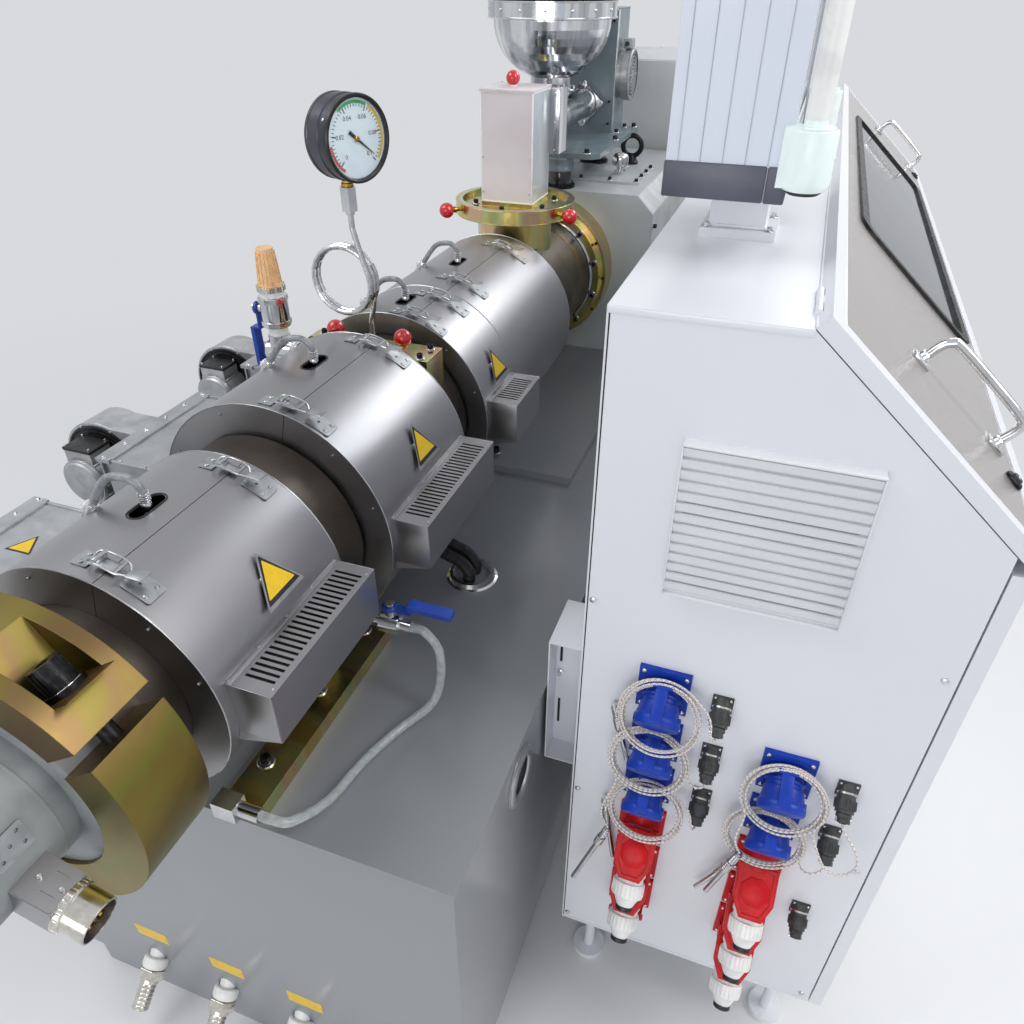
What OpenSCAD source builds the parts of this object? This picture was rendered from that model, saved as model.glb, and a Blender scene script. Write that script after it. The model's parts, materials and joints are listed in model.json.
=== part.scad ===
// Conical twin-screw plastic extruder with its control cabinet, millimetres, +Z up.
// The screw axis runs along Y above X = 0: the die end is at low Y, the drive at high Y.

/* [Base] */
// Height of the deck that carries the barrel
deck_h = 884; // [750:2:1000]
// Height of the screw axis above the deck
axis_rise = 306; // [290:2:330]
// Width of the machine base
base_w = 990; // [900:10:1100]
// Length of the machine base
base_len = 3560; // [3480:10:3800]
// Thickness of the deck plate
deck_t = 6; // [4:1:12]
// How far the deck plate stands proud of the base
deck_lip = 6; // [2:1:12]
// Distance of the base's front face ahead of the frame's origin
base_front = 4; // [2:1:10]
// Height of the recessed plinth
plinth_h = 70; // [40:5:120]
// Depth of the plinth recess
plinth_in = 30; // [10:5:60]
// Height of the pad under the feed end
pad_h = 20; // [10:2:40]
// Inner edge of the rails from the screw axis
rail_x = 92; // [80:2:100]
// Width of the rails
rail_w = 70; // [60:2:80]
// Height of the rails
rail_h = 30; // [24:2:36]
// Far end of the rails
rail_end = 440; // [430:5:460]
// Radius of the cable collar on the deck
collar_r = 50; // [46:2:60]

/* [Barrel zones] */
// Radius of the barrel inside the shrouds
barrel_r = 140; // [120:5:150]
// Radius of the flange rings between the zones
flange_r = 178; // [165:1:185]
// Outside radius of the first shroud
zone_1_r = 200; // [196:1:204]
// Outside radius of the second shroud
zone_2_r = 231; // [226:1:236]
// Outside radius of the third and fourth shrouds
zone_3_r = 224; // [220:1:230]
// Front of the first shroud
zone_1_y = -44; // [-60:2:-40]
// Length of the first shroud
zone_1_len = 312; // [300:2:320]
// Front of the second shroud
zone_2_y = 374; // [370:2:380]
// Length of the second shroud
zone_2_len = 336; // [320:2:340]
// Front of the third shroud
zone_3_y = 846; // [840:2:856]
// Length of the third shroud
zone_3_len = 188; // [180:2:200]
// Length of the fourth shroud
zone_4_len = 460; // [440:5:480]
// Sheet thickness of the shrouds
sheet_t = 2; // [1.5:0.5:3]
// Gap at the seams between the shells
seam_gap = 1.2; // [0.8:0.2:2]
// Angle of the top seam from the right-hand side
seam_angle = 76; // [70:1:90]
// Length of the thermocouple slot
slot_len = 62; // [50:2:70]
// Width of the thermocouple slot
slot_w = 24; // [20:1:30]

/* [Side vents and ducts] */
// Width of the side vents at the top
vent_w = 72; // [60:2:80]
// Height of the side vents' outer wall
vent_h = 90; // [70:5:110]
// Height of the vents' top above the screw axis
vent_rise = 50; // [40:2:60]
// Width of one vent slot
vent_slot_w = 5; // [4:0.5:6]
// Spacing of the vent slots
vent_slot_pitch = 11; // [10:0.5:14]
// Distance of the air ducts' outer edge from the screw axis
duct_out = 405; // [390:5:420]
// Height of the air ducts
duct_h = 110; // [80:5:130]
// Radius of the blower housings
blower_r = 105; // [90:5:120]
// Width of the blower housings
blower_w = 80; // [60:5:100]

/* [Die end] */
// Outside radius of the swing clamp
clamp_r = 213; // [205:1:218]
// Length of the swing clamp
clamp_len = 113; // [100:1:120]
// Space between the clamp and the first shroud
clamp_back = 63; // [50:1:70]
// Radius of the flanges that the clamp holds together
clamp_bore_r = 150; // [140:2:160]
// Gap between the clamp halves at the bolts
clamp_gap = 26; // [16:2:40]
// Radius of the die adapter
adapter_r = 114; // [110:2:136]
// Length of the die adapter in front of the clamp
adapter_len = 140; // [120:5:160]
// Bore of the die adapter
adapter_bore = 60; // [50:2:80]
// Bolt circle of the adapter's outlet flange
outlet_pcd = 200; // [180:5:220]
// Diameter of the bolt holes in the outlet flange
outlet_hole = 13; // [11:0.5:15]

/* [Vent port and vacuum] */
// Place of the vent port along the barrel
port_y = 765; // [760:1:770]
// Width of the vent block along the barrel
port_w = 76; // [70:2:84]
// Length of the vent block across the barrel
port_len = 290; // [270:5:300]
// Height of the vent block's top above the screw axis
port_rise = 184; // [180:1:200]
// Height of the vacuum gauge's centre above the screw axis
gauge_rise = 582; // [560:2:620]
// Diameter of the gauge case
gauge_d = 138; // [130:2:160]
// Distance of the vacuum valve from the screw axis
valve_x = 222; // [210:2:240]

/* [Feed end] */
// Place of the feed opening along the barrel
feed_y = 1680; // [1670:2:1690]
// Radius of the feed section of the barrel
feed_barrel_r = 176; // [170:1:180]
// Outside diameter of the feed neck
neck_d = 214; // [200:2:230]
// Height of the feed flange's top above the screw axis
feed_rise = 282; // [270:2:300]
// Diameter of the feed flange
feed_flange_d = 346; // [335:1:370]
// Thickness of the feed flange
feed_flange_t = 38; // [30:1:44]
// Side of the square sight chute
chute_w = 150; // [140:2:160]
// Height of the sight chute
chute_h = 280; // [260:2:300]
// Wall of the sight chute
chute_t = 5; // [3:0.5:8]

/* [Gearbox and drive] */
// Front of the gearbox housing
gearbox_y = 2000; // [1980:5:2020]
// Length of the gearbox housing
gearbox_len = 800; // [760:10:840]
// Reach of the gearbox and the motor cover to the right of the screw axis
gearbox_right = 345; // [330:5:360]
// Reach of the gearbox and the motor cover to the left of the screw axis
gearbox_left = 255; // [245:5:300]
// Height of the gearbox top above the screw axis
gearbox_rise = 242; // [230:2:260]
// Chamfer along the top edges of the gearbox
gearbox_chamfer = 55; // [40:5:70]
// Radius of the flange on the gearbox front
gearbox_flange_r = 224; // [215:1:230]
// Length of the flange on the gearbox front
gearbox_flange_len = 116; // [100:2:120]
// Front of the motor cover
cover_y = 2840; // [2820:5:2860]
// Length of the motor cover
cover_len = 700; // [600:10:720]
// Height of the motor cover's top above the deck
cover_rise = 852; // [800:4:900]

/* [Feeder] */
// Place of the feeder hopper along the machine
hopper_y = 2215; // [2200:5:2240]
// Offset of the feeder hopper from the screw axis
hopper_x = -74; // [-80:2:-60]
// Diameter of the feeder hopper
hopper_d = 374; // [350:2:390]
// Height of the hopper rim above the gearbox
hopper_rise = 511; // [490:1:530]
// Height of the band round the hopper's rim
band_h = 49; // [40:1:60]
// Width of the feeder's upright
stand_w = 198; // [185:1:240]
// Depth of the feeder's upright
stand_d = 170; // [150:5:190]
// Height of the feeder's base plate above the gearbox
feeder_rise = 92; // [80:2:110]

/* [Control cabinet] */
// Gap between the base and the cabinet
cabinet_gap = 84; // [70:2:100]
// Width of the cabinet from the back to the door
cabinet_w = 573; // [540:5:600]
// Front end of the cabinet along the machine
cabinet_y = 370; // [360:5:380]
// Length of the cabinet along the machine
cabinet_len = 2530; // [2300:10:2700]
// Length of the hinged door at the cabinet's front end
door_len = 1126; // [1050:10:1200]
// Height of the cabinet top above the floor
cabinet_top = 1665; // [1600:5:1700]
// Height of the cabinet's underside above the floor
cabinet_foot = 202; // [150:2:220]
// Width of the flat part of the cabinet top
cabinet_flat = 249; // [240:1:260]
// Height of the door's top above the floor
door_top = 1382; // [1340:2:1400]
// Sheet thickness of the cabinet
cabinet_t = 2; // [1.5:0.5:3]
// Thickness of the door
door_t = 24; // [18:1:30]
// Thickness of the sloping lid
lid_t = 22; // [16:1:28]
// Gap around the lid and the door
panel_gap = 3; // [2:0.5:5]
// How far the sloping lid is opened
lid_open = 0; // [0:1:45]

/* [Operator terminal] */
// Side of the terminal's pillar
pillar_w = 86; // [76:2:96]
// Width of the terminal along the machine
hmi_len = 430; // [380:10:480]
// Depth of the terminal box
hmi_w = 163; // [140:1:180]
// Height of the terminal box
hmi_h = 380; // [340:5:420]
// Height of the terminal's underside above the cabinet
hmi_lift = 84; // [70:1:100]

/* [Sockets] */
// Side of the socket flanges across the wall
socket_w = 86; // [80:1:90]
// Height of the blue socket flanges
blue_h = 92; // [86:1:98]
// Height of the red socket flanges
red_h = 100; // [92:1:106]
// Height of the first blue row above the floor
blue_row = 1023; // [1000:1:1040]
// Spacing of the blue rows
blue_pitch = 121; // [112:1:130]
// Height of the first red row above the floor
red_row = 650; // [640:1:660]
// Spacing of the red rows
red_pitch = 117; // [110:1:124]
// First column of sockets from the cabinet's back
socket_col = 145; // [130:1:160]
// Spacing of the two socket columns
socket_cols_gap = 222; // [210:1:240]
// Offset of the round plugs from their column
plug_off = 97; // [90:1:104]
// Radius of the hung coils
coil_r = 64; // [60:1:68]

/* [Valves] */
// Turn of the drain valve's lever
drain_turn = 0; // [0:1:90]
// Turn of the vacuum valve's lever
vacuum_turn = 0; // [0:1:90]

/* [Hidden] */
$fn = 64;
eps = 0.01;

// Bottom of the deck plate and top of the pad under the feed end
deck_under = deck_h - deck_t;
axis_h = deck_h + axis_rise;
pad_top = deck_h + pad_h;
zone_1_end = zone_1_y + zone_1_len;
zone_2_end = zone_2_y + zone_2_len;
zone_3_end = zone_3_y + zone_3_len;
zone_4_y = zone_3_end + 0.3;
zone_4_end = zone_4_y + zone_4_len;
gearbox_top = axis_h + gearbox_rise;
flange_front = gearbox_y - gearbox_flange_len;
feed_top = axis_h + feed_rise;
vent_top = axis_h + vent_rise;
clamp_y = zone_1_y - clamp_back - clamp_len;
clamp_end = clamp_y + clamp_len;
joint_y = clamp_y + clamp_len / 2;
adapter_y = clamp_y - adapter_len;
port_top = axis_h + port_rise;
cabinet_x = base_w / 2 + cabinet_gap;
cabinet_end = cabinet_y + cabinet_len;
door_end = cabinet_y + door_len;
ridge_x = cabinet_x + cabinet_flat;
door_x = cabinet_x + cabinet_w - door_t;
slope_run = door_x + door_t - ridge_x;
slope_drop = cabinet_top - door_top;
slope_angle = atan2(slope_drop, slope_run);
slope_len = sqrt(slope_run * slope_run + slope_drop * slope_drop);
hmi_x = cabinet_x + 16;
hmi_y = 600;
hmi_foot = cabinet_top + hmi_lift;

// Finishes as RGB
grey_green = [0.62, 0.66, 0.66];
stainless = [0.72, 0.72, 0.73];
zinc = [0.83, 0.74, 0.42];
cast_dark = [0.25, 0.25, 0.26];
shell_white = [0.88, 0.88, 0.90];

// A round bar along Y
module bar_y(r, y0, y1, x = 0, z = 0) {
    translate([x, y0, z])
        rotate([-90, 0, 0])
            cylinder(r = r, h = y1 - y0);
}

// A round bar along X
module bar_x(r, x0, x1, y = 0, z = 0) {
    translate([x0, y, z])
        rotate([0, 90, 0])
            cylinder(r = r, h = x1 - x0);
}

// A round bar along Z
module bar_z(r, z0, z1, x = 0, y = 0) {
    translate([x, y, z0])
        cylinder(r = r, h = z1 - z0);
}

// A block given by its lowest and highest corners
module block(a, b) {
    translate(a)
        cube(b - a);
}

// Machine base: one closed box on a recessed plinth, with panel joints on its sides
module base_frame() {
    color(grey_green)
        difference() {
            union() {
                block([-base_w / 2, -base_front, plinth_h], [base_w / 2, base_len, deck_under]);
                block([-base_w / 2 + plinth_in, -base_front, 0],
                    [base_w / 2 - plinth_in, base_len - plinth_in, plinth_h + eps]);
            }
            for (side = [-1, 1])
                for (y = [900, 1800, 2700])
                    block([side * base_w / 2 - 4, y - 2, plinth_h + 40],
                        [side * base_w / 2 + 4, y + 2, deck_under - 40]);
        }
}

// Cable collar on the deck
collar_x = 244;
collar_y = 688;
collar_wall = 8;
conduit_r = 15;

// Deck plate with its folded lip, the feed-end pad and the cable collar
module deck_plate() {
    color(grey_green)
        difference() {
            union() {
                block([-base_w / 2 - deck_lip, -base_front - deck_lip, deck_under],
                    [base_w / 2 + deck_lip, base_len, deck_h]);
                block([-base_w / 2 + 150, 1130, deck_h - eps],
                    [base_w / 2 - 150, gearbox_y, pad_top]);
                bar_z(collar_r, deck_h - eps, deck_h + 14, collar_x, collar_y);
            }
            bar_z(collar_r - collar_wall, deck_h, deck_h + 20, collar_x, collar_y);
        }
}

saddle_w = 60;
saddle_in = 80;
rail_bolt_in = 26;
rail_bolt_ys = [82, 251, rail_end - 18];

// Zinc rails on the deck with the saddles that carry the barrel's flange rings
module barrel_rails() {
    color(zinc) {
        for (side = [-1, 1])
            difference() {
                block([side * (rail_x + rail_w / 2) - rail_w / 2, -2, deck_h],
                    [side * (rail_x + rail_w / 2) + rail_w / 2, rail_end, deck_h + rail_h]);
                for (y = rail_bolt_ys)
                    bar_z(7, deck_h - 1, deck_h + rail_h + 1, side * (rail_x + rail_bolt_in), y);
            }
        for (y = [322, 765, 1570])
            difference() {
                block([-rail_x + 2, y - saddle_w / 2, y > 1130 ? pad_top : deck_h],
                    [rail_x - 2, y + saddle_w / 2, axis_h - saddle_in]);
                bar_y(y > 1500 ? feed_barrel_r : flange_r, y - saddle_w, y + saddle_w, 0, axis_h);
            }
    }
}

// Barrel with flange rings between the zones and the larger feed section
module barrel() {
    color(cast_dark)
        difference() {
            union() {
                bar_y(clamp_bore_r, joint_y, clamp_end + 8, 0, axis_h);
                bar_y(barrel_r, clamp_end + 7, zone_4_end + 2, 0, axis_h);
                bar_y(flange_r, zone_1_end + 10, zone_2_y - 8, 0, axis_h);
                bar_y(flange_r, zone_2_end + 10, zone_3_y - 8, 0, axis_h);
                bar_y(feed_barrel_r, zone_4_end + 2, flange_front, 0, axis_h);
            }
            bar_z(70, axis_h + 20, axis_h + 200, 0, feed_y);
            bar_z(26, axis_h + 20, axis_h + 200, 0, port_y);
            for (s = [-1, 1])
                bar_y(34, joint_y - 1, joint_y + 120, s * 26, axis_h);
        }
}

seat_gap = 0.3;

// Sheet shroud around one zone: two half shells whose annular ends sit on the barrel
module shroud(r, y0, len, slot = 0) {
    y1 = y0 + len;
    translate([0, 0, axis_h])
        difference() {
            bar_y(r, y0, y1);
            bar_y(r - sheet_t, y0 + sheet_t, y1 - sheet_t);
            bar_y(barrel_r + seat_gap, y0 - 1, y1 + 1);
            for (a = [seam_angle, seam_angle + 180])
                rotate([0, -a, 0])
                    block([0, y0 - 1, -seam_gap / 2], [r + 1, y1 + 1, seam_gap / 2]);
            if (slot > 0)
                hull()
                    for (s = [-1, 1])
                        bar_z(slot_w / 2, r - 30, r + 10, 0, slot + s * (slot_len - slot_w) / 2);
        }
}

module zone_1_shroud() {
    color(stainless)
        shroud(zone_1_r, zone_1_y, zone_1_len, 112);
}

module zone_2_shroud() {
    color(stainless)
        shroud(zone_2_r, zone_2_y, zone_2_len, 560);
}

module zone_3_shroud() {
    color(stainless)
        shroud(zone_3_r, zone_3_y, zone_3_len, 936);
}

module zone_4_shroud() {
    color(stainless)
        shroud(zone_3_r, zone_4_y, zone_4_len, 1230);
}

// One slotted vent on the right of a shroud: flat top, upright wall, slanted underside
module side_vent(r, y0, y1) {
    x0 = sqrt(r * r - vent_rise * vent_rise);
    slots = floor((y1 - y0 - 36) / vent_slot_pitch);
    first = (y0 + y1 - (slots - 1) * vent_slot_pitch) / 2;
    difference() {
        translate([0, y1, axis_h])
            rotate([90, 0, 0])
                linear_extrude(y1 - y0)
                    difference() {
                        polygon([[100, vent_rise], [x0 + vent_w, vent_rise],
                            [x0 + vent_w, vent_rise - vent_h], [100, -vent_h]]);
                        circle(r + 0.3);
                    }
        translate([0, y1 - sheet_t, axis_h])
            rotate([90, 0, 0])
                linear_extrude(y1 - y0 - 2 * sheet_t)
                    difference() {
                        polygon([[100, vent_rise - sheet_t], [x0 + vent_w - sheet_t, vent_rise - sheet_t],
                            [x0 + vent_w - sheet_t, vent_rise - vent_h + sheet_t], [100, sheet_t - vent_h]]);
                        circle(r + sheet_t);
                    }
        for (i = [0:slots - 1])
            block([x0 + 16, first + i * vent_slot_pitch - vent_slot_w / 2, vent_top - 10],
                [x0 + vent_w - 10, first + i * vent_slot_pitch + vent_slot_w / 2, vent_top + 10]);
    }
}

module side_vents() {
    color(stainless) {
        side_vent(zone_1_r, zone_1_y + 20, zone_1_end - 14);
        side_vent(zone_2_r, zone_2_y + 12, zone_2_end - 16);
        side_vent(zone_3_r, zone_3_y + 12, zone_3_end - 20);
    }
}

duct_gap = 0.3;
strip_t = 4;

// One air duct on the left of a shroud with the bolted strip along its outer edge
module air_duct(r, y0, y1) {
    difference() {
        union() {
            block([-duct_out, y0, vent_top - duct_h - 15], [-100, y1, vent_top - 15]);
            block([-duct_out - 14, y0 - 6, vent_top - 19], [-duct_out + 20, y1 + 6, vent_top - 11]);
            block([-duct_out - strip_t, y0 - 6, vent_top - 60], [-duct_out + eps, y1 + 6, vent_top - 15]);
        }
        bar_y(r + duct_gap, y0 - 10, y1 + 10, 0, axis_h);
    }
}

module air_ducts() {
    color(stainless) {
        air_duct(zone_1_r, zone_1_y + 40, zone_1_end - 30);
        air_duct(zone_2_r, zone_2_y + 20, zone_2_end - 20);
        air_duct(zone_3_r, zone_3_y + 14, zone_3_end - 14);
    }
}

// One blower: scroll housing beside the duct, outlet, motor and foot on the deck
module blower(y) {
    x = -duct_out - blower_r - 20;
    z = vent_top - 15 - blower_r;
    bar_y(blower_r, y - blower_w / 2, y + blower_w / 2, x, z);
    block([x, y - blower_w / 2, z + 12], [-duct_out - strip_t, y + blower_w / 2, z + blower_r - 6]);
    bar_y(52, y - blower_w / 2 - 70, y - blower_w / 2 + eps, x, z);
    block([x - 34, y - blower_w / 2 - 62, z + 40], [x + 34, y - blower_w / 2 - 8, z + 74]);
    block([-base_w / 2 + 14, y - 30, deck_h], [-base_w / 2 + 54, y + 30, z - 60]);
}

module cooling_blowers() {
    color(cast_dark)
        for (y = [(zone_1_y + zone_1_end) / 2, (zone_2_y + zone_2_end) / 2,
                (zone_3_y + zone_3_end) / 2 + 40])
            blower(y);
}

module clamp_ring() {
    difference() {
        bar_y(clamp_r, clamp_y, clamp_end, 0, axis_h);
        bar_y(clamp_bore_r + 0.3, clamp_y - 1, clamp_end + 1, 0, axis_h);
    }
}

// Bolt pockets of the clamp, on the parting line's side
clamp_tilt = -34;
clamp_bolt_r = 178;
clamp_head_r = 25;

// Upper clamp half with its milled bolt pocket
module clamp_upper() {
    color(zinc)
        difference() {
            clamp_ring();
            translate([0, 0, axis_h])
                rotate([0, clamp_tilt, 0]) {
                    block([-300, -400, -300], [300, 400, clamp_gap / 2]);
                    for (s = [-1, 1])
                        block([s * 190 - 44, clamp_y + 22, 62], [s * 190 + 44, clamp_end - 22, 230]);
                    for (s = [-1, 1])
                        bar_z(12, 0, 80, s * clamp_bolt_r, clamp_y + clamp_len / 2);
                }
        }
}

// Lower clamp half
module clamp_lower() {
    color(zinc)
        difference() {
            clamp_ring();
            translate([0, 0, axis_h])
                rotate([0, clamp_tilt, 0]) {
                    block([-300, -400, -clamp_gap / 2], [300, 400, 300]);
                    for (s = [-1, 1])
                        bar_z(12, -50, 0, s * clamp_bolt_r, clamp_y + clamp_len / 2);
                }
        }
}

// Socket-head clamp bolts with their washers
module clamp_bolts() {
    color(cast_dark)
        translate([0, 0, axis_h])
            rotate([0, clamp_tilt, 0])
                for (s = [-1, 1]) {
                    bar_z(11.7, -50, 64, s * clamp_bolt_r, clamp_y + clamp_len / 2);
                    bar_z(clamp_head_r, 62, 70, s * clamp_bolt_r, clamp_y + clamp_len / 2);
                    difference() {
                        bar_z(clamp_head_r - 5, 68, 104, s * clamp_bolt_r, clamp_y + clamp_len / 2);
                        translate([s * clamp_bolt_r, clamp_y + clamp_len / 2, 88])
                            cylinder(r = 10, h = 20, $fn = 6);
                    }
                }
}

// Die adapter: stub in the clamp, drum and the bolted outlet face
module die_adapter() {
    color([0.55, 0.60, 0.58])
        difference() {
            union() {
                bar_y(clamp_bore_r, clamp_y + 6, joint_y, 0, axis_h);
                bar_y(adapter_r, adapter_y, clamp_y + 7, 0, axis_h);
            }
            bar_y(adapter_bore / 2, adapter_y - 1, zone_1_y, 0, axis_h);
            translate([0, adapter_y, axis_h])
                for (a = [0:60:300])
                    rotate([0, a + 30, 0])
                        bar_y(outlet_hole / 2, -1, 22, outlet_pcd / 2, 0);
        }
}

connector_tilt = 18;
connector_r = 27;

// Connector box and round plug of the adapter's heater band
module heater_connector() {
    color(stainless)
        translate([0, clamp_y - 70, axis_h])
            rotate([0, connector_tilt, 0]) {
                difference() {
                    block([adapter_r - 8, -26, -26], [adapter_r + 52, 26, 26]);
                    bar_y(adapter_r + 0.3, -40, 40);
                }
                difference() {
                    bar_x(connector_r, adapter_r + 50, adapter_r + 92);
                    bar_x(connector_r - 2.5, adapter_r + 60, adapter_r + 100);
                }
            }
}

// Vent block on the barrel between the second and third zones
module vent_block() {
    color(zinc)
        difference() {
            block([-port_len / 2, port_y - port_w / 2, axis_h + 60],
                [port_len / 2, port_y + port_w / 2, port_top]);
            bar_y(flange_r + 0.3, port_y - 100, port_y + 100, 0, axis_h);
        }
}

// Steel pipe from the vent block, round two full loops and up to the nut under the gauge
pipe_r = 5.5;
pipe_x = 8;
loop_r = 64;
loop_x = -34;
loop_z = port_top + 138;
loop_drift = 28;
loop_from = -30;
loop_to = 735;
nut_h = 42;
gauge_z = axis_h + gauge_rise;
nut_z = gauge_z - gauge_d / 2 - 13 - nut_h;
gauge_x = 4;
gauge_y = port_y - loop_drift;
pipe_points = concat(
    [for (z = [port_top, port_top + 50]) [pipe_x, port_y, z]],
    [for (a = [loop_from:15:loop_to])
        [loop_x + loop_r * cos(a), port_y - loop_drift * (a - loop_from) / (loop_to - loop_from),
            loop_z + loop_r * sin(a)]],
    [[gauge_x + 9, gauge_y, loop_z + 68], [gauge_x, gauge_y, loop_z + 105],
        [gauge_x, gauge_y, nut_z + 2]]);

module gauge_pipe() {
    color(stainless) {
        tube(pipe_points, pipe_r, [0, 1, 0], 12);
        translate([gauge_x, gauge_y, nut_z])
            cylinder(r = 16, h = nut_h, $fn = 6);
        difference() {
            bar_z(9, nut_z + nut_h - 1, gauge_z, gauge_x, gauge_y);
            translate([gauge_x, gauge_y, gauge_z])
                rotate([0, 0, gauge_turn])
                    bar_x(gauge_d / 2, -60, 60);
        }
    }
}

// Round vacuum gauge, turned towards the operator
gauge_turn = -20;
gauge_back = -14;
gauge_face = 44;

module vacuum_gauge() {
    color([0.75, 0.77, 0.79])
        translate([gauge_x, gauge_y, gauge_z])
            rotate([0, 0, gauge_turn])
                difference() {
                    bar_x(gauge_d / 2, gauge_back, gauge_face);
                    bar_x(gauge_d / 2 - 5, gauge_face - 6, gauge_face + 4);
                }
}

// Vacuum pipe from the vent block, tee, ball valve and the capped filter above it
valve_drop = 45;
valve_z = port_top - valve_drop;
vacuum_stem = 40.3;
stem_rise = 92;

module vacuum_valve() {
    color(stainless) {
        bar_x(17, -valve_x - 30, -port_len / 2, port_y, valve_z);
        bar_x(23, -valve_x - 28, -valve_x + 32, port_y, valve_z);
        bar_z(23, valve_z, valve_z + 40, -valve_x, port_y);
        bar_z(19, valve_z + 38, valve_z + 62, -valve_x, port_y);
        bar_z(29, valve_z + 60, valve_z + 125, -valve_x, port_y);
        bar_x(9, -valve_x - vacuum_stem + 0.3, -valve_x, port_y, valve_z + stem_rise);
        bar_x(4, -valve_x - vacuum_stem - 9, -valve_x, port_y, valve_z + stem_rise);
        bar_x(9, -valve_x - vacuum_stem - 12, -valve_x - vacuum_stem - 6.3, port_y, valve_z + stem_rise);
        bar_z(25, valve_z + 123, valve_z + 138, -valve_x, port_y);
        bar_z(30, valve_z + 137, valve_z + 147, -valve_x, port_y);
        translate([-valve_x, port_y, valve_z + 146])
            cylinder(r1 = 23, r2 = 17, h = 76);
    }
}

// A bent lever handle: hub, crank and flat grip along its own X
module lever(reach) {
    difference() {
        bar_z(14, 0, 6);
        bar_z(4.3, -1, 7);
    }
    block([8, -9, 0], [reach * 0.35, 9, 4]);
    block([reach * 0.35 - 4, -9, 0], [reach * 0.35, 9, lever_rise + 4]);
    block([reach * 0.35 - 4, -11, lever_rise - 3], [reach, 11, lever_rise + 7]);
}

lever_rise = 16;

module vacuum_valve_lever() {
    color([0.12, 0.25, 0.62])
        translate([-valve_x - vacuum_stem, port_y, valve_z + stem_rise])
            rotate([vacuum_turn, 0, 0])
                rotate([0, -90, 0])
                    rotate([0, 0, 180])
                        lever(130);
}

chute_x = -7;

// Feed neck with its flange, seated on the feed section
module feed_throat() {
    color(zinc)
        difference() {
            union() {
                bar_z(neck_d / 2, axis_h + 100, feed_top - 4, chute_x, feed_y);
                bar_z(feed_flange_d / 2, feed_top - feed_flange_t, feed_top, chute_x, feed_y);
            }
            bar_y(feed_barrel_r + 0.3, feed_y - 300, feed_y + 300, 0, axis_h);
            bar_z(70, axis_h, feed_top + 1, chute_x, feed_y);
            difference() {
                bar_z(feed_flange_d / 2 - 20, feed_top - 12, feed_top + 1, chute_x, feed_y);
                block([chute_x - chute_w / 2, feed_y - chute_w / 2, 0],
                    [chute_x + chute_w / 2, feed_y + chute_w / 2, 3000]);
            }
        }
}

// Clear square chute with its lid, open at the back towards the discharge
module feed_chute() {
    w = chute_w / 2;
    color([0.92, 0.92, 0.95, 0.5])
        translate([chute_x, feed_y, feed_top])
            difference() {
                block([-w, -w, 0], [w, w, chute_h]);
                block([chute_t - w, chute_t - w, -1], [w - chute_t, w - chute_t, chute_h - chute_t]);
                block([-40, w - chute_t - 1, screw_z - 40 - feed_top], [40, w + 1, screw_z + 40 - feed_top]);
            }
}

// Stepped flange that joins the feed section to the gearbox
module gearbox_flange() {
    color(zinc)
        difference() {
            union() {
                bar_y(gearbox_flange_r - 16, flange_front, flange_front + 30, 0, axis_h);
                bar_y(gearbox_flange_r, flange_front + 29, gearbox_y, 0, axis_h);
            }
            bar_y(feed_barrel_r - 20, flange_front + 20, gearbox_y - 10, 0, axis_h);
        }
}

cover_t = 8;

// Gearbox housing with chamfered top edges and its cover plate
module gearbox() {
    l = gearbox_left;
    w = gearbox_right;
    c = gearbox_chamfer;
    color(grey_green) {
        translate([0, gearbox_y + gearbox_len, 0])
            rotate([90, 0, 0])
                linear_extrude(gearbox_len)
                    polygon([[-l, deck_h], [w, deck_h], [w, gearbox_top - c], [w - c, gearbox_top],
                        [c - l, gearbox_top], [-l, gearbox_top - c]]);
        block([-170, gearbox_y + 145, gearbox_top - eps], [262, gearbox_y + 410, gearbox_top + cover_t]);
    }
}

feeder_z = gearbox_top + feeder_rise;
hopper_top = gearbox_top + hopper_rise;
slab_t = 16;
slab_left = -150;
slab_right = 151;
slab_cut = 26;
rim_w = 16;
stand_y = hopper_y + hopper_d / 2 + rim_w + 14;
stand_x = -109;
stand_low = 30;
post_x = 17;
post_y = gearbox_y + 46;
post_r = 40;
post_collar_r = 45;
post_collar_h = 40;

// Feeder stand: black posts on the gearbox, base plate with a cut corner, and the upright
module feeder_stand() {
    slab_front = gearbox_y + 12;
    color([0.30, 0.34, 0.36]) {
        for (y = [post_y, stand_y + 60]) {
            bar_z(post_r, gearbox_top, feeder_z - post_collar_h + 1, post_x, y);
            bar_z(post_collar_r, feeder_z - post_collar_h, feeder_z, post_x, y);
        }
        translate([0, 0, feeder_z - eps])
            linear_extrude(slab_t + eps)
                polygon([[slab_left, slab_front], [slab_right - slab_cut, slab_front],
                    [slab_right, slab_front + slab_cut], [slab_right, stand_y + stand_d + 10],
                    [slab_left, stand_y + stand_d + 10]]);
        block([stand_x, stand_y, feeder_z + slab_t - eps],
            [stand_x + stand_w, stand_y + stand_d, hopper_top - stand_low]);
    }
}

// Screw housing of the feeder with its diamond flanges and the discharge spout
screw_x = -10;
screw_z = feeder_z + 112;
screw_r = 46;
chute_back = feed_y + chute_w / 2;
spout_w = 204;
spout_len = 74;
spout_t = 4;
flange_side = 104;

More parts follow.
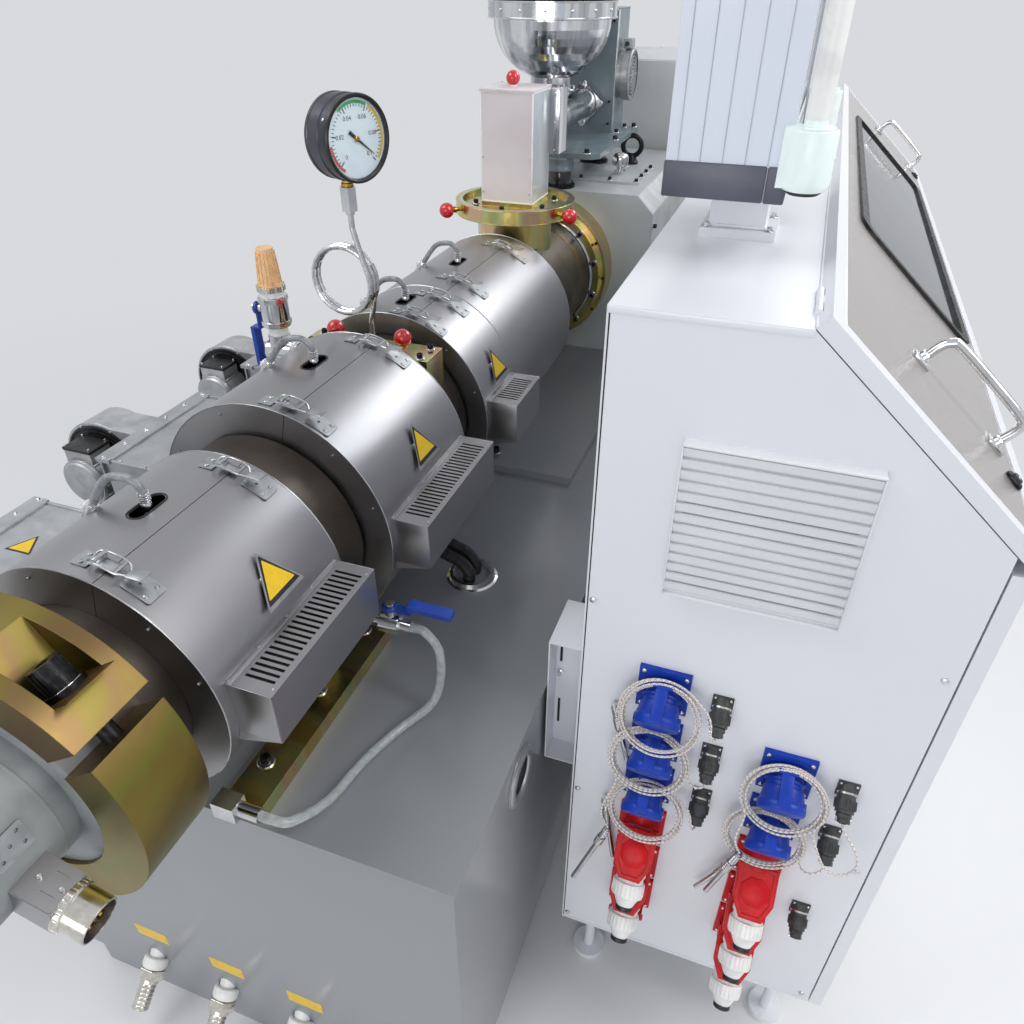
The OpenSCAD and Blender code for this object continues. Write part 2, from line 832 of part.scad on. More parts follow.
module feeder_screw() {
    spout_x = screw_x + 5;
    color(stainless) {
        bar_y(screw_r, chute_back + spout_len - spout_t - eps, stand_y, screw_x, screw_z);
        for (y = [chute_back + spout_len + 14, stand_y - 40])
            translate([screw_x, y, screw_z])
                rotate([-90, 45, 0])
                    translate([-flange_side / 2, -flange_side / 2, 0])
                        cube([flange_side, flange_side, 9]);
        difference() {
            block([spout_x - spout_w / 2, chute_back, screw_z - 55],
                [spout_x + spout_w / 2, chute_back + spout_len, screw_z + 112]);
            block([spout_x - spout_w / 2 + spout_t, chute_back - 1, screw_z - 55 + spout_t],
                [spout_x + spout_w / 2 - spout_t, chute_back + spout_len - spout_t,
                    screw_z + 112 - spout_t]);
        }
    }
}

// Round-bottomed feeder hopper with its rim band and the neck that sits on the screw housing
bowl_h = 170;
bowl_rise = 84;
hopper_t = 3;
hopper_neck_r = 68;

function bowl(r, h, z) = [for (a = [0:7.5:90]) [r * sin(a), z - h * cos(a)]];

module feeder_hopper() {
    r = hopper_d / 2;
    low = screw_z + bowl_rise;
    z = low + bowl_h;
    color(stainless)
        difference() {
            translate([hopper_x, hopper_y, 0]) {
                bar_z(hopper_neck_r, screw_z - 6, low + 14);
                rotate_extrude()
                    polygon(concat(bowl(r, bowl_h, z), [[r, hopper_top - band_h],
                        [r + rim_w, hopper_top - band_h], [r + rim_w, hopper_top], [0, hopper_top]]));
            }
            translate([hopper_x, hopper_y, 0])
                rotate_extrude()
                    polygon(concat(bowl(r - hopper_t, bowl_h - hopper_t, z),
                        [[r - hopper_t, hopper_top + 1], [0, hopper_top + 1]]));
            bar_y(screw_r + seat_gap, chute_back, stand_y, screw_x, screw_z);
        }
}

// Feeder gear motor on the upright's side
module feeder_motor() {
    x0 = stand_x + stand_w;
    y = stand_y + stand_d / 2;
    z = feeder_z + 193;
    color([0.45, 0.48, 0.50])
        difference() {
            union() {
                bar_x(72, x0, x0 + 20, y, z);
                bar_x(80, x0 + 18, x0 + 44, y, z);
            }
            bar_x(72, x0 + 40, x0 + 50, y, z);
        }
}

// Sheet cover over the drive motor
module motor_cover() {
    color(grey_green)
        block([-gearbox_left, cover_y, deck_h], [gearbox_right, cover_y + cover_len, deck_h + cover_rise]);
}

slope_tan = slope_drop / slope_run;
door_back = door_x - panel_gap;
end_wall = 20;
fixed_gap = 30;
post_deep = 30;

// Height of the sloping face at a distance from the ridge, moved in by a wall
function slope_z(x, in = 0) = cabinet_top - (x - ridge_x) * slope_tan - in / cos(slope_angle);

// Cabinet shell: open towards the sloping lid and the door, with a fixed panel behind the door, on its feet
module cabinet_body() {
    color(shell_white) {
        lid_pins();
        door_pins();
        difference() {
            union() {
                translate([0, cabinet_end, 0])
                    rotate([90, 0, 0])
                        linear_extrude(cabinet_len)
                            polygon([[cabinet_x, cabinet_foot], [door_back, cabinet_foot],
                                [door_back, slope_z(door_back)], [ridge_x, cabinet_top],
                                [cabinet_x, cabinet_top]]);
                block([door_back - eps, door_end + fixed_gap, cabinet_foot],
                    [door_x + door_t, cabinet_end, slope_z(door_x + door_t) - panel_gap]);
                for (x = [cabinet_x + 60, door_x - 60])
                    for (y = [cabinet_y + 60, (cabinet_y + cabinet_end) / 2, cabinet_end - 60]) {
                        bar_z(38, 0, 14, x, y);
                        bar_z(12, 12, cabinet_foot + eps, x, y);
                    }
            }
            translate([0, cabinet_end - end_wall, 0])
                rotate([90, 0, 0])
                    linear_extrude(cabinet_len - 2 * end_wall)
                        polygon([[cabinet_x + cabinet_t, cabinet_foot + cabinet_t],
                            [door_back + 10, cabinet_foot + cabinet_t],
                            [door_back + 10, cabinet_top + 10], [ridge_x + 16, cabinet_top + 10],
                            [ridge_x + 16, slope_z(ridge_x + 16, 4)], [ridge_x, cabinet_top - 5],
                            [ridge_x - 6, cabinet_top - cabinet_t],
                            [cabinet_x + cabinet_t, cabinet_top - cabinet_t]]);
            for (y = knuckle_ys)
                bar_y(knuckle_r + 0.8, y - 0.5, y + knuckle_len + 0.5, hinge_x, hinge_z);
        }
        block([door_back - post_deep, door_end - 10, cabinet_foot],
            [door_back, door_end + fixed_gap + 30, slope_z(door_back) - panel_gap]);
    }
}

// Hinge of the sloping lid: knuckles on a pin along the ridge
pin_r = 2.5;
pin_play = 0.3;
knuckle_r = 5;
knuckle_len = 30;
knuckle_ys = [cabinet_y + 80, (cabinet_y + cabinet_end - knuckle_len) / 2, cabinet_end - 80 - knuckle_len];
hinge_out = 2;
hinge_up = 3;
hinge_x = ridge_x + hinge_out;
hinge_z = cabinet_top + hinge_up;

module lid_pins() {
    for (y = knuckle_ys) {
        bar_y(pin_r, y - knuckle_len, y + 2 * knuckle_len, hinge_x, hinge_z);
        for (y1 = [y - knuckle_len, y + knuckle_len + 0.5]) {
            bar_y(knuckle_r, y1, y1 + knuckle_len - 0.5, hinge_x, hinge_z);
            block([ridge_x - 4, y1, cabinet_top - 3],
                [ridge_x + 4, y1 + knuckle_len - 0.5, cabinet_top + 2]);
        }
    }
}

// Hinges of the door on the post beside the fixed panel, with their pins
door_axis_x = door_x + door_t / 2;
door_axis_y = door_end + 9;
door_hinge_zs = [cabinet_foot + 160, 1000];
door_lug_r = 7;

module door_pins() {
    for (z = door_hinge_zs) {
        bar_z(4, z - 20, z + 60, door_axis_x, door_axis_y);
        for (z1 = [z - 20, z + 40.5]) {
            bar_z(door_lug_r, z1, z1 + 19.5, door_axis_x, door_axis_y);
            block([door_back - 3, door_axis_y - 4, z1], [door_axis_x, door_axis_y + 4, z1 + 19.5]);
        }
    }
}

// Front door under the sloping lid
module cabinet_door() {
    color(shell_white) {
        block([door_x, cabinet_y, cabinet_foot],
            [door_x + door_t, door_end, slope_z(door_x + door_t) - panel_gap]);
        for (z = door_hinge_zs)
            difference() {
                union() {
                    bar_z(door_lug_r, z, z + 40, door_axis_x, door_axis_y);
                    block([door_axis_x - 5, door_end - eps, z], [door_axis_x + 5, door_axis_y, z + 40]);
                }
                bar_z(4 + pin_play, z - 1, z + 41, door_axis_x, door_axis_y);
            }
    }
}

// Sloping lid: frame with its recessed panel, hinged at the ridge
lid_len = slope_len + 2;
lid_frame = 24;
lid_recess = 3;

module console_lid() {
    color(shell_white)
        translate([hinge_x, 0, hinge_z])
            rotate([0, slope_angle - lid_open, 0])
                difference() {
                    union() {
                        block([1, cabinet_y, -2], [lid_len, cabinet_end, lid_t - 2]);
                        for (y = knuckle_ys)
                            bar_y(knuckle_r, y, y + knuckle_len, 0, 0);
                    }
                    block([lid_frame, cabinet_y + lid_frame, lid_t - 2 - lid_recess],
                        [lid_len - lid_frame, cabinet_end - lid_frame, lid_t]);
                    for (y = knuckle_ys) {
                        bar_y(pin_r + pin_play, y - 1, y + knuckle_len + 1, 0, 0);
                        for (y1 = [y - knuckle_len - 0.5, y + knuckle_len])
                            bar_y(knuckle_r + 0.8, y1, y1 + knuckle_len + 0.5, 0, 0);
                    }
                }
}

// Slatted air inlet on the cabinet's end wall
louver_x = 700 - 0.5;
louver_w = 250;
louver_z = 1242;
louver_h = 256;

module cabinet_louver() {
    color([0.80, 0.80, 0.82])
        difference() {
            block([louver_x, cabinet_y - 16, louver_z],
                [louver_x + louver_w, cabinet_y, louver_z + louver_h]);
            for (i = [0:13])
                translate([louver_x - 1, cabinet_y - 16, louver_z + 20 + i * 15.6])
                    rotate([35, 0, 0])
                        translate([12, -8, 0])
                            cube([louver_w - 22, 16, 5]);
        }
}

// Keeps only what lies in front of the cabinet's end wall
module on_end_wall() {
    difference() {
        children();
        block([cabinet_x - 100, cabinet_y, 0], [door_x + 100, cabinet_y + 100, cabinet_top]);
    }
}

// One panel socket: flange, angled housing and round cap along its own -Y
module socket(h, lid_r, reach) {
    block([-socket_w / 2, -8, -h / 2], [socket_w / 2, 0, h / 2]);
    rotate([socket_tilt, 0, 0]) {
        bar_y(30, -reach, 20, 0, -2);
        bar_y(lid_r, -reach - 10, -reach + 1, 0, -2);
    }
}

socket_tilt = 32;
socket_cols = [cabinet_x + socket_col, cabinet_x + socket_col + socket_cols_gap];
plug_cols = [socket_cols[0] + plug_off, socket_cols[1] + plug_off];
plug_tilt = 48;
plug_seat = 42;

module blue_sockets() {
    color([0.05, 0.20, 0.62])
        on_end_wall()
            for (c = [0, 1])
                for (i = [c:2])
                    translate([socket_cols[c], cabinet_y, blue_row - i * blue_pitch])
                        socket(blue_h, 38, 56);
}

// Places of the red sockets: column, row and whether a plug stands in it
red_places = [for (c = [0, 1]) for (i = [0:2])
    [socket_cols[c], red_row - i * red_pitch, c == 1 || i < 2]];

// Open lid of a red socket, above its plug
module open_lid() {
    rotate([plug_tilt, 0, 0])
        translate([0, 0, 30])
            linear_extrude(12)
                polygon([[-36, -4], [36, -4], [36, -70], [20, -104], [-20, -104], [-36, -70]]);
}

module red_sockets() {
    color([0.75, 0.06, 0.08])
        on_end_wall()
            for (p = red_places)
                translate([p[0], cabinet_y, p[1]])
                    if (p[2]) {
                        block([-socket_w / 2, -8, -red_h / 2], [socket_w / 2, 0, red_h / 2]);
                        rotate([plug_tilt, 0, 0])
                            bar_y(32, -plug_seat, 40);
                        open_lid();
                    } else
                        socket(red_h, 36, 48);
}

// White plugs in the red sockets, each with its collar and cable gland
module white_plugs() {
    color([0.92, 0.92, 0.92])
        for (p = red_places)
            if (p[2])
                translate([p[0], cabinet_y, p[1]])
                    rotate([plug_tilt, 0, 0]) {
                        bar_y(26, -120, -plug_seat);
                        bar_y(30, -142, -116);
                        translate([0, -141, 0])
                            rotate([90, 0, 0])
                                cylinder(r1 = 26, r2 = 15, h = 22);
                    }
}

// Coils of the thermocouple leads, hung on the blue sockets: column, row, offset across,
// drop of the centre, distance of the top from the wall and tilt of the plane
coils = [[0, 0, 4, 33, 20, 20], [0, 1, -4, 33, 20, 14], [0, 2, 6, 39, 30, 14],
    [1, 1, 4, 33, 20, 15], [1, 2, -8, 27, 26, 8]];
coil_t = 8;

function coil_top(i) = let (c = coils[i])
    [socket_cols[c[0]] + c[2], cabinet_y - c[4], blue_row - c[1] * blue_pitch - c[3] + coil_r];

// A point on a coil, by the angle from the right-hand side
function on_coil(i, a, r = coil_r) = let (d = r * sin(a) - coil_r, t = coils[i][5])
    coil_top(i) + [r * cos(a), d * sin(t), d * cos(t)];

module lead_coils() {
    color([0.86, 0.82, 0.80])
        for (i = [0:4])
            translate(coil_top(i))
                rotate([-coils[i][5], 0, 0])
                    translate([0, 0, -coil_r])
                        rotate([90, 0, 0])
                            rotate_extrude()
                                translate([coil_r, 0])
                                    circle(r = coil_t, $fn = 16);
}

// Round multi-pin plugs on square flanges
module plug_connectors() {
    color([0.22, 0.23, 0.25])
        on_end_wall()
            for (p = [for (c = [0, 1]) for (i = [c:2]) [plug_cols[c], blue_row - i * blue_pitch],
                    [plug_cols[1], red_row - red_pitch]])
                translate([p[0], cabinet_y, p[1]]) {
                    block([-17, -4, -17], [17, 0, 17]);
                    rotate([gland_tilt, 0, 0]) {
                        bar_y(15, -40, 8);
                        bar_y(17, -34, -18);
                        bar_y(11, -gland_out, -39);
                    }
                }
}

gland_tilt = 38;
gland_out = 56;

// Far end of a round plug's gland
function gland(c, i) = [plug_cols[c], cabinet_y - gland_out * cos(gland_tilt),
    blue_row - i * blue_pitch - gland_out * sin(gland_tilt)];

// Free ends of the leads: from each plug to its coil and from the coil to its probe
tail_r = 3;
tail_reach = coil_r + coil_t + 1;
probe_tops = [[646, 358, 966], [668, 310, 684], [648, 356, 706], [903, 306, 735], [904, 350, 645]];
probe_ends = [[680, 358, 832], [610, 310, 484], [678, 356, 526], [864, 306, 592], [848, 350, 522]];

function leaving(c, i, out) = gland(c, i) - out * [0, cos(gland_tilt), sin(gland_tilt)];

plug_tails = [
    [gland(0, 0), leaving(0, 0, 8), [813, 311, 990], [808, 324, 1026], on_coil(0, 42, tail_reach)],
    [gland(0, 1), leaving(0, 1, 8), [806, 318, 858], on_coil(1, -12, tail_reach)],
    [gland(0, 2), leaving(0, 2, 8), [813, 311, 752], [808, 320, 782], on_coil(2, 36, tail_reach)],
    [gland(1, 1), leaving(1, 1, 8), [1076, 304, 824], [1076, 296, 790], [1040, 292, 776],
        on_coil(3, -40, tail_reach)],
    [gland(1, 2), leaving(1, 2, 8), [1020, 314, 722], on_coil(4, -28, tail_reach)]];
probe_tails = [
    [on_coil(0, 190, tail_reach), probe_tops[0]],
    [on_coil(1, 228, tail_reach), [652, 302, 742], probe_tops[1]],
    [on_coil(2, 195, tail_reach), probe_tops[2]],
    [on_coil(3, 222, tail_reach), [888, 300, 780], probe_tops[3]],
    [on_coil(4, 232, tail_reach), probe_tops[4]]];

module lead_tails() {
    color([0.80, 0.78, 0.76])
        for (p = concat(plug_tails, probe_tails))
            tube(p, tail_r, [0, 1, 0.2], 8);
}

// Steel bayonet probes on the ends of the leads
module lead_probes() {
    color(stainless)
        for (i = [0:4])
            let (p = probe_tops[i], d = probe_ends[i] - p)
                translate(p)
                    rotate([0, acos(d[2] / norm(d)), atan2(d[1], d[0])]) {
                        cylinder(r = 5, h = norm(d));
                        translate([0, 0, 34])
                            cylinder(r = 8, h = 26);
                    }
}

// Water fittings on the base's front face: socket, hexagon and hose nipple, turned down
fitting_xs = [-276, -84, 108];
water_z = 150;
fitting_tilt = 40;

module water_fittings() {
    color([0.85, 0.86, 0.86])
        difference() {
            for (x = fitting_xs)
                translate([x, -base_front, water_z])
                    rotate([fitting_tilt, 0, 0]) {
                        bar_y(19, -30, 30);
                        translate([0, -29, 0])
                            rotate([90, 0, 0])
                                cylinder(r = 21, h = 16, $fn = 6);
                        bar_y(11, -78, -44);
                    }
            block([-base_w / 2, -base_front, plinth_h + 1], [base_w / 2, 100, deck_under]);
        }
}

duct_box_y = 440;
duct_box_len = 125;
duct_box_low = 222;
duct_box_rise = 106;
duct_box_t = 3;
duct_box_open = 50;

// Cable duct box between the deck's edge and the cabinet, open in front
module cable_duct_box() {
    x0 = base_w / 2 + deck_lip;
    z0 = deck_h - duct_box_low;
    z1 = deck_h + duct_box_rise;
    color(shell_white)
        difference() {
            block([x0, duct_box_y, z0], [cabinet_x, duct_box_y + duct_box_len, z1]);
            block([x0 + duct_box_t, duct_box_y - 1, z0 + duct_box_t],
                [cabinet_x - duct_box_t, duct_box_y + duct_box_open, z1 - duct_box_t]);
        }
}

// Pillar of the operator terminal with its foot plate
pillar_x = hmi_x + 30;
pillar_y = 735;

module hmi_pillar() {
    color(shell_white) {
        block([pillar_x + 14, pillar_y - 12, cabinet_top],
            [pillar_x + 130, pillar_y + pillar_w + 12, cabinet_top + 14]);
        block([pillar_x + 26, pillar_y, cabinet_top + 13],
            [pillar_x + 26 + pillar_w, pillar_y + pillar_w, hmi_foot]);
    }
}

// Terminal box: profile housing with dark bottom trim and recessed screen side
module hmi_box() {
    color(shell_white)
        difference() {
            block([hmi_x, hmi_y, hmi_foot], [hmi_x + hmi_w, hmi_y + hmi_len, hmi_foot + hmi_h]);
            block([hmi_x + hmi_w - 6, hmi_y + 40, hmi_foot + 60],
                [hmi_x + hmi_w + 1, hmi_y + hmi_len - 40, hmi_foot + hmi_h - 30]);
        }
}

// Grab bars on both sides of the screen
handle_x = hmi_x + hmi_w + 24;
handle_r = 15;

module hmi_handle() {
    color([0.80, 0.86, 0.84])
        difference() {
            for (y = [hmi_y - 8, hmi_y + hmi_len + 8])
                for (z = [hmi_foot + 26, hmi_foot + hmi_h - 96]) {
                    block([hmi_x + hmi_w - 12, y - 20, z], [handle_x, y + 20, z + 72]);
                    bar_z(26, z, z + 72, handle_x, y);
                    if (z < hmi_foot + 100)
                        bar_z(handle_r, z + 71, hmi_foot + hmi_h - 95, handle_x, y);
                }
            block([hmi_x, hmi_y, hmi_foot], [hmi_x + hmi_w, hmi_y + hmi_len, hmi_foot + hmi_h]);
        }
}

// Drain valve on the flange ring between the first two zones
drain_y = 326;
drain_drop = 132;
drain_z = axis_h - drain_drop;
drain_x = 238;
drain_stem = 4;
drain_stem_h = 34.3;

module drain_valve() {
    color(stainless) {
        difference() {
            bar_x(11, 90, drain_x - 10, drain_y, drain_z);
            bar_y(flange_r, drain_y - 30, drain_y + 30, 0, axis_h);
        }
        bar_x(20, drain_x - 14, drain_x + 22, drain_y, drain_z);
        bar_x(13, drain_x + 20, drain_x + 44, drain_y, drain_z);
        bar_z(9, drain_z, drain_z + drain_stem_h - 0.3, drain_x + drain_stem, drain_y);
        bar_z(4, drain_z, drain_z + drain_stem_h + 9, drain_x + drain_stem, drain_y);
        bar_z(9, drain_z + drain_stem_h + 6.3, drain_z + drain_stem_h + 12, drain_x + drain_stem, drain_y);
        bar_x(12, fitting_x, fitting_x + 40, -18, fitting_z);
        block([fitting_x - 40, -34, fitting_z - 20], [fitting_x + 1, -2, fitting_z + 14]);
    }
}

module drain_valve_lever() {
    color([0.10, 0.25, 0.65])
        translate([drain_x + drain_stem, drain_y, drain_z + drain_stem_h])
            rotate([0, 0, drain_turn])
                lever(120);
}

// A tube swept along a list of points
module tube(points, r, up, sides = 10) {
    n = len(points);
    dirs = [for (i = [0:n - 1])
        let (a = points[max(i - 1, 0)], b = points[min(i + 1, n - 1)], d = b - a)
            d / norm(d)];
    rings = [for (i = [0:n - 1])
        let (u = cross(dirs[i], up), u1 = u / norm(u), v1 = cross(dirs[i], u1))
            for (k = [0:sides - 1])
                points[i] + r * (cos(360 * k / sides) * u1 + sin(360 * k / sides) * v1)];
    walls = [for (i = [0:n - 2])
        for (k = [0:sides - 1])
            let (k1 = (k + 1) % sides)
                [i * sides + k, (i + 1) * sides + k, (i + 1) * sides + k1, i * sides + k1]];
    ends = [[for (k = [0:sides - 1]) k], [for (k = [0:sides - 1]) n * sides - 1 - k]];
    polyhedron(rings, concat(walls, ends));
}

// Points of a smooth curve through a list of chosen points
function smooth(p, steps) = concat([for (i = [0:len(p) - 2])
    let (a = p[max(i - 1, 0)], b = p[i], c = p[i + 1], d = p[min(i + 2, len(p) - 1)])
        for (s = [0:steps - 1])
            let (t = s / steps)
                0.5 * (2 * b + (c - a) * t + (2 * a - 5 * b + 4 * c - d) * t * t
                    + (3 * b - a - 3 * c + d) * t * t * t)], [p[len(p) - 1]]);

// Clear hose from the drain valve down to the deck and forward to its fitting
hose_r = 8;
fitting_x = 140;
fitting_z = deck_h + rail_h + 20;
hose_points = [[drain_x + 44, drain_y, drain_z], [drain_x + 56, drain_y, drain_z],
    [drain_x + 68, drain_y, drain_z - 2],
    [drain_x + 96, drain_y - 4, drain_z - 36], [drain_x + 98, drain_y - 14, deck_h + 66],
    [drain_x + 84, drain_y - 34, deck_h + 22], [drain_x + 50, drain_y - 90, deck_h + 9],
    [260, 150, deck_h + 9], [246, 60, deck_h + 14], [224, -6, deck_h + 40],
    [fitting_x + 62, -17, fitting_z], [fitting_x + 51, -18, fitting_z], [fitting_x + 40, -18, fitting_z]];

module water_hose() {
    color([0.85, 0.88, 0.88, 0.6])
        tube(smooth(hose_points, 2), hose_r, [-0.8, 0.5, 0.1]);
}

// Two black conduits from the deck collar up to the underside of the second shroud
conduit_end = zone_2_r + 0.3;
conduit_angle = 50;

module cable_conduits() {
    end_x = conduit_end * cos(conduit_angle);
    end_z = axis_h - conduit_end * sin(conduit_angle);
    color([0.08, 0.08, 0.09])
        for (s = [-1, 1])
            tube(smooth([[collar_x, collar_y + s * 18, deck_h], [collar_x, collar_y + s * 18, deck_h + 14],
                [collar_x, collar_y + s * 18, deck_h + 26],
                [collar_x - 14, collar_y + s * 18 - 8, deck_h + 56],
                [end_x + 54, collar_y + s * 18 - 20, end_z - 50],
                [end_x + 26, collar_y + s * 18 - 26, end_z - 30],
                [end_x, collar_y + s * 18 - 28, end_z]], 2), conduit_r, [0, 1, 0]);
}

base_frame();
deck_plate();
barrel_rails();
barrel();
zone_1_shroud();
zone_2_shroud();
zone_3_shroud();
zone_4_shroud();
side_vents();
air_ducts();
cooling_blowers();
clamp_upper();
clamp_lower();
clamp_bolts();
die_adapter();
heater_connector();
vent_block();
gauge_pipe();
vacuum_gauge();
vacuum_valve();
vacuum_valve_lever();
feed_throat();
feed_chute();
gearbox_flange();
gearbox();
feeder_stand();
feeder_screw();
feeder_hopper();
feeder_motor();
motor_cover();
cabinet_body();
cabinet_door();
console_lid();
cabinet_louver();
blue_sockets();
red_sockets();
white_plugs();
plug_connectors();
lead_coils();
lead_tails();
lead_probes();
cable_duct_box();
hmi_pillar();
hmi_box();
hmi_handle();
drain_valve();
drain_valve_lever();
water_hose();
cable_conduits();
water_fittings();
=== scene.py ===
"""Plastic extruder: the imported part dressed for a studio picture, laid out as an add-on."""

import json
from math import ceil, cos, pi, radians, sin, sqrt

import bmesh
import bpy
from bpy.props import FloatProperty, FloatVectorProperty, IntProperty, PointerProperty
from mathutils import Matrix, Vector


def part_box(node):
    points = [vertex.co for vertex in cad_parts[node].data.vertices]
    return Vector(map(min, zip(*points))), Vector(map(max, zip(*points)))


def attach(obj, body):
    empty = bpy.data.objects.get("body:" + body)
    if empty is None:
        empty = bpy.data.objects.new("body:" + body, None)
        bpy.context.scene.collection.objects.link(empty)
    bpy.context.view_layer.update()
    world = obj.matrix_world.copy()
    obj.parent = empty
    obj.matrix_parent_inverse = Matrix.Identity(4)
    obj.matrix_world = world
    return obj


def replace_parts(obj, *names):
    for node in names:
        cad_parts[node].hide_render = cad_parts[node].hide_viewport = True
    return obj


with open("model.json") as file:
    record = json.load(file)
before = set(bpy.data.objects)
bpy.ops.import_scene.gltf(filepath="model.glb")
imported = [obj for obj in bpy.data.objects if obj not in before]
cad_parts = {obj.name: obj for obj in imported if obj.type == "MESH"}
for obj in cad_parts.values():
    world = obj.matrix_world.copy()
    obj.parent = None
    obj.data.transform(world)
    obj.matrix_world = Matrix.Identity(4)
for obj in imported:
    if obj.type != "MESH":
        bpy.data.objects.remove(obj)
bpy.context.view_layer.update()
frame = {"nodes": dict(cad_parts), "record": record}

bl_info = {
    "name": "Plastic extruder",
    "version": (1, 0, 0),
    "blender": (4, 5, 0),
    "location": "3D View > Sidebar > Extruder",
    "description": "Dresses the packed plastic extruder and sets its studio",
    "category": "Object",
}

MM = 0.001
UP = (0, 0, 1)
TO_FRONT = (0, -1, 0)
TO_BACK = (0, 1, 0)
TO_RIGHT = (1, 0, 0)
TO_LEFT = (-1, 0, 0)


def span(node):
    """Lowest and highest corner of a CAD node, in millimetres."""
    low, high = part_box(node)
    return Vector(low) * 1000, Vector(high) * 1000


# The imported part's own sizes that the pieces hang on, in millimetres
AXIS = next(m for m in frame["record"]["mounts"] if m["name"] == "melt_bore")["pos_m"][2] * 1000
DECK = span("barrel_rails")[0].z
FRONT = span("base_frame")[0].y
SIDE = span("base_frame")[1].x
WALL = span("cabinet_louver")[1].y
FINISHES = {}


def linear(hex_colour):
    """The linear red, green and blue of an sRGB hex colour."""
    parts = [int(hex_colour[i:i + 2], 16) / 255 for i in (0, 2, 4)]
    return [p / 12.92 if p <= 0.04045 else ((p + 0.055) / 1.055) ** 2.4 for p in parts]


def paint_colour(name, hex_colour, description):
    """A colour that a user may change."""
    return FloatVectorProperty(name=name, description=description, subtype="COLOR", size=3, min=0, max=1,
                               default=linear(hex_colour))


def size_mm(name, default, description):
    """A size in millimetres that a user may change."""
    return FloatProperty(name=name, description=description + ", in millimetres", default=default, min=0.1,
                         subtype="DISTANCE")


class ExtruderColours(bpy.types.PropertyGroup):
    """Colours of the extruder's paints and plastics."""

    base: paint_colour("Base paint", "85888D", "Powder coat of the base and deck")
    gearbox: paint_colour("Gearbox enamel", "B0B5B7", "Sprayed enamel of the gearbox casting")
    cabinet: paint_colour("Cabinet white", "DFE1E8", "Powder coat of the control cabinet")
    slate: paint_colour("Feeder slate", "65727A", "Hammer enamel of the feeder's stand")
    drum: paint_colour("Die drum", "8C9092", "Heat-proof enamel of the die adapter")
    blue: paint_colour("Blue sockets", "1038A4", "Moulded sockets of the heater circuits")
    red: paint_colour("Red sockets", "C0141C", "Moulded sockets of the blower circuits")
    knob: paint_colour("Knobs", "C41820", "Ball knobs of the feed flange and chute")
    vinyl: paint_colour("Lever sleeves", "173E9C", "Dipped vinyl on the valve levers")
    mint: paint_colour("Terminal handle", "E6F2F1", "Moulded handle of the operator terminal")
    plate: paint_colour("Warning plates", "E4BC1E", "Plain yellow plates")
    cap: paint_colour("Filter cap", "EEBE8A", "Moulded cap of the vacuum filter")
    floor: paint_colour("Studio floor", "DCDDDF", "Floor of the studio")


class ExtruderSizes(bpy.types.PropertyGroup):
    """Sizes of the small parts that the scene adds."""

    lead: size_mm("Lead", 3.8, "Thickness of the braided thermocouple leads")
    lead_turns: IntProperty(name="Lead turns", description="Turns of each hung coil of lead", default=6,
                            min=2, max=9)
    ridge: size_mm("Conduit ridge", 4.2, "Pitch of the conduit's ridges")
    cap_screw: size_mm("Cap screw", 9.0, "Radius of the rail's cap screw heads")
    latch: size_mm("Latch", 30.0, "Width of the shroud latches")
    triangle: size_mm("Triangle plate", 76.0, "Side of the yellow triangle plates")
    elbow: size_mm("Probe elbow", 6.0, "Radius of the thermocouple elbows")
    knob: size_mm("Knob", 21.0, "Radius of the ball knobs")
    needle: size_mm("Gauge needle", 46.0, "Length of the gauge's needle")
    bow: size_mm("Bow handle", 7.0, "Radius of the lid's bow handles")
    window: size_mm("Window edge", 20.0, "Width of the lid window's rubber edge")
    breather: size_mm("Breather", 26.0, "Radius of the gearbox breather's cap")


def add_node(tree, kind, inputs=None, **settings):
    """Adds a node: settings are its own properties, and inputs are values or sockets by name."""
    node = tree.nodes.new(kind)
    for key, value in settings.items():
        setattr(node, key, value)
    for key, value in (inputs or {}).items():
        if isinstance(value, bpy.types.NodeSocket):
            tree.links.new(value, node.inputs[key])
        else:
            node.inputs[key].default_value = value
    return node


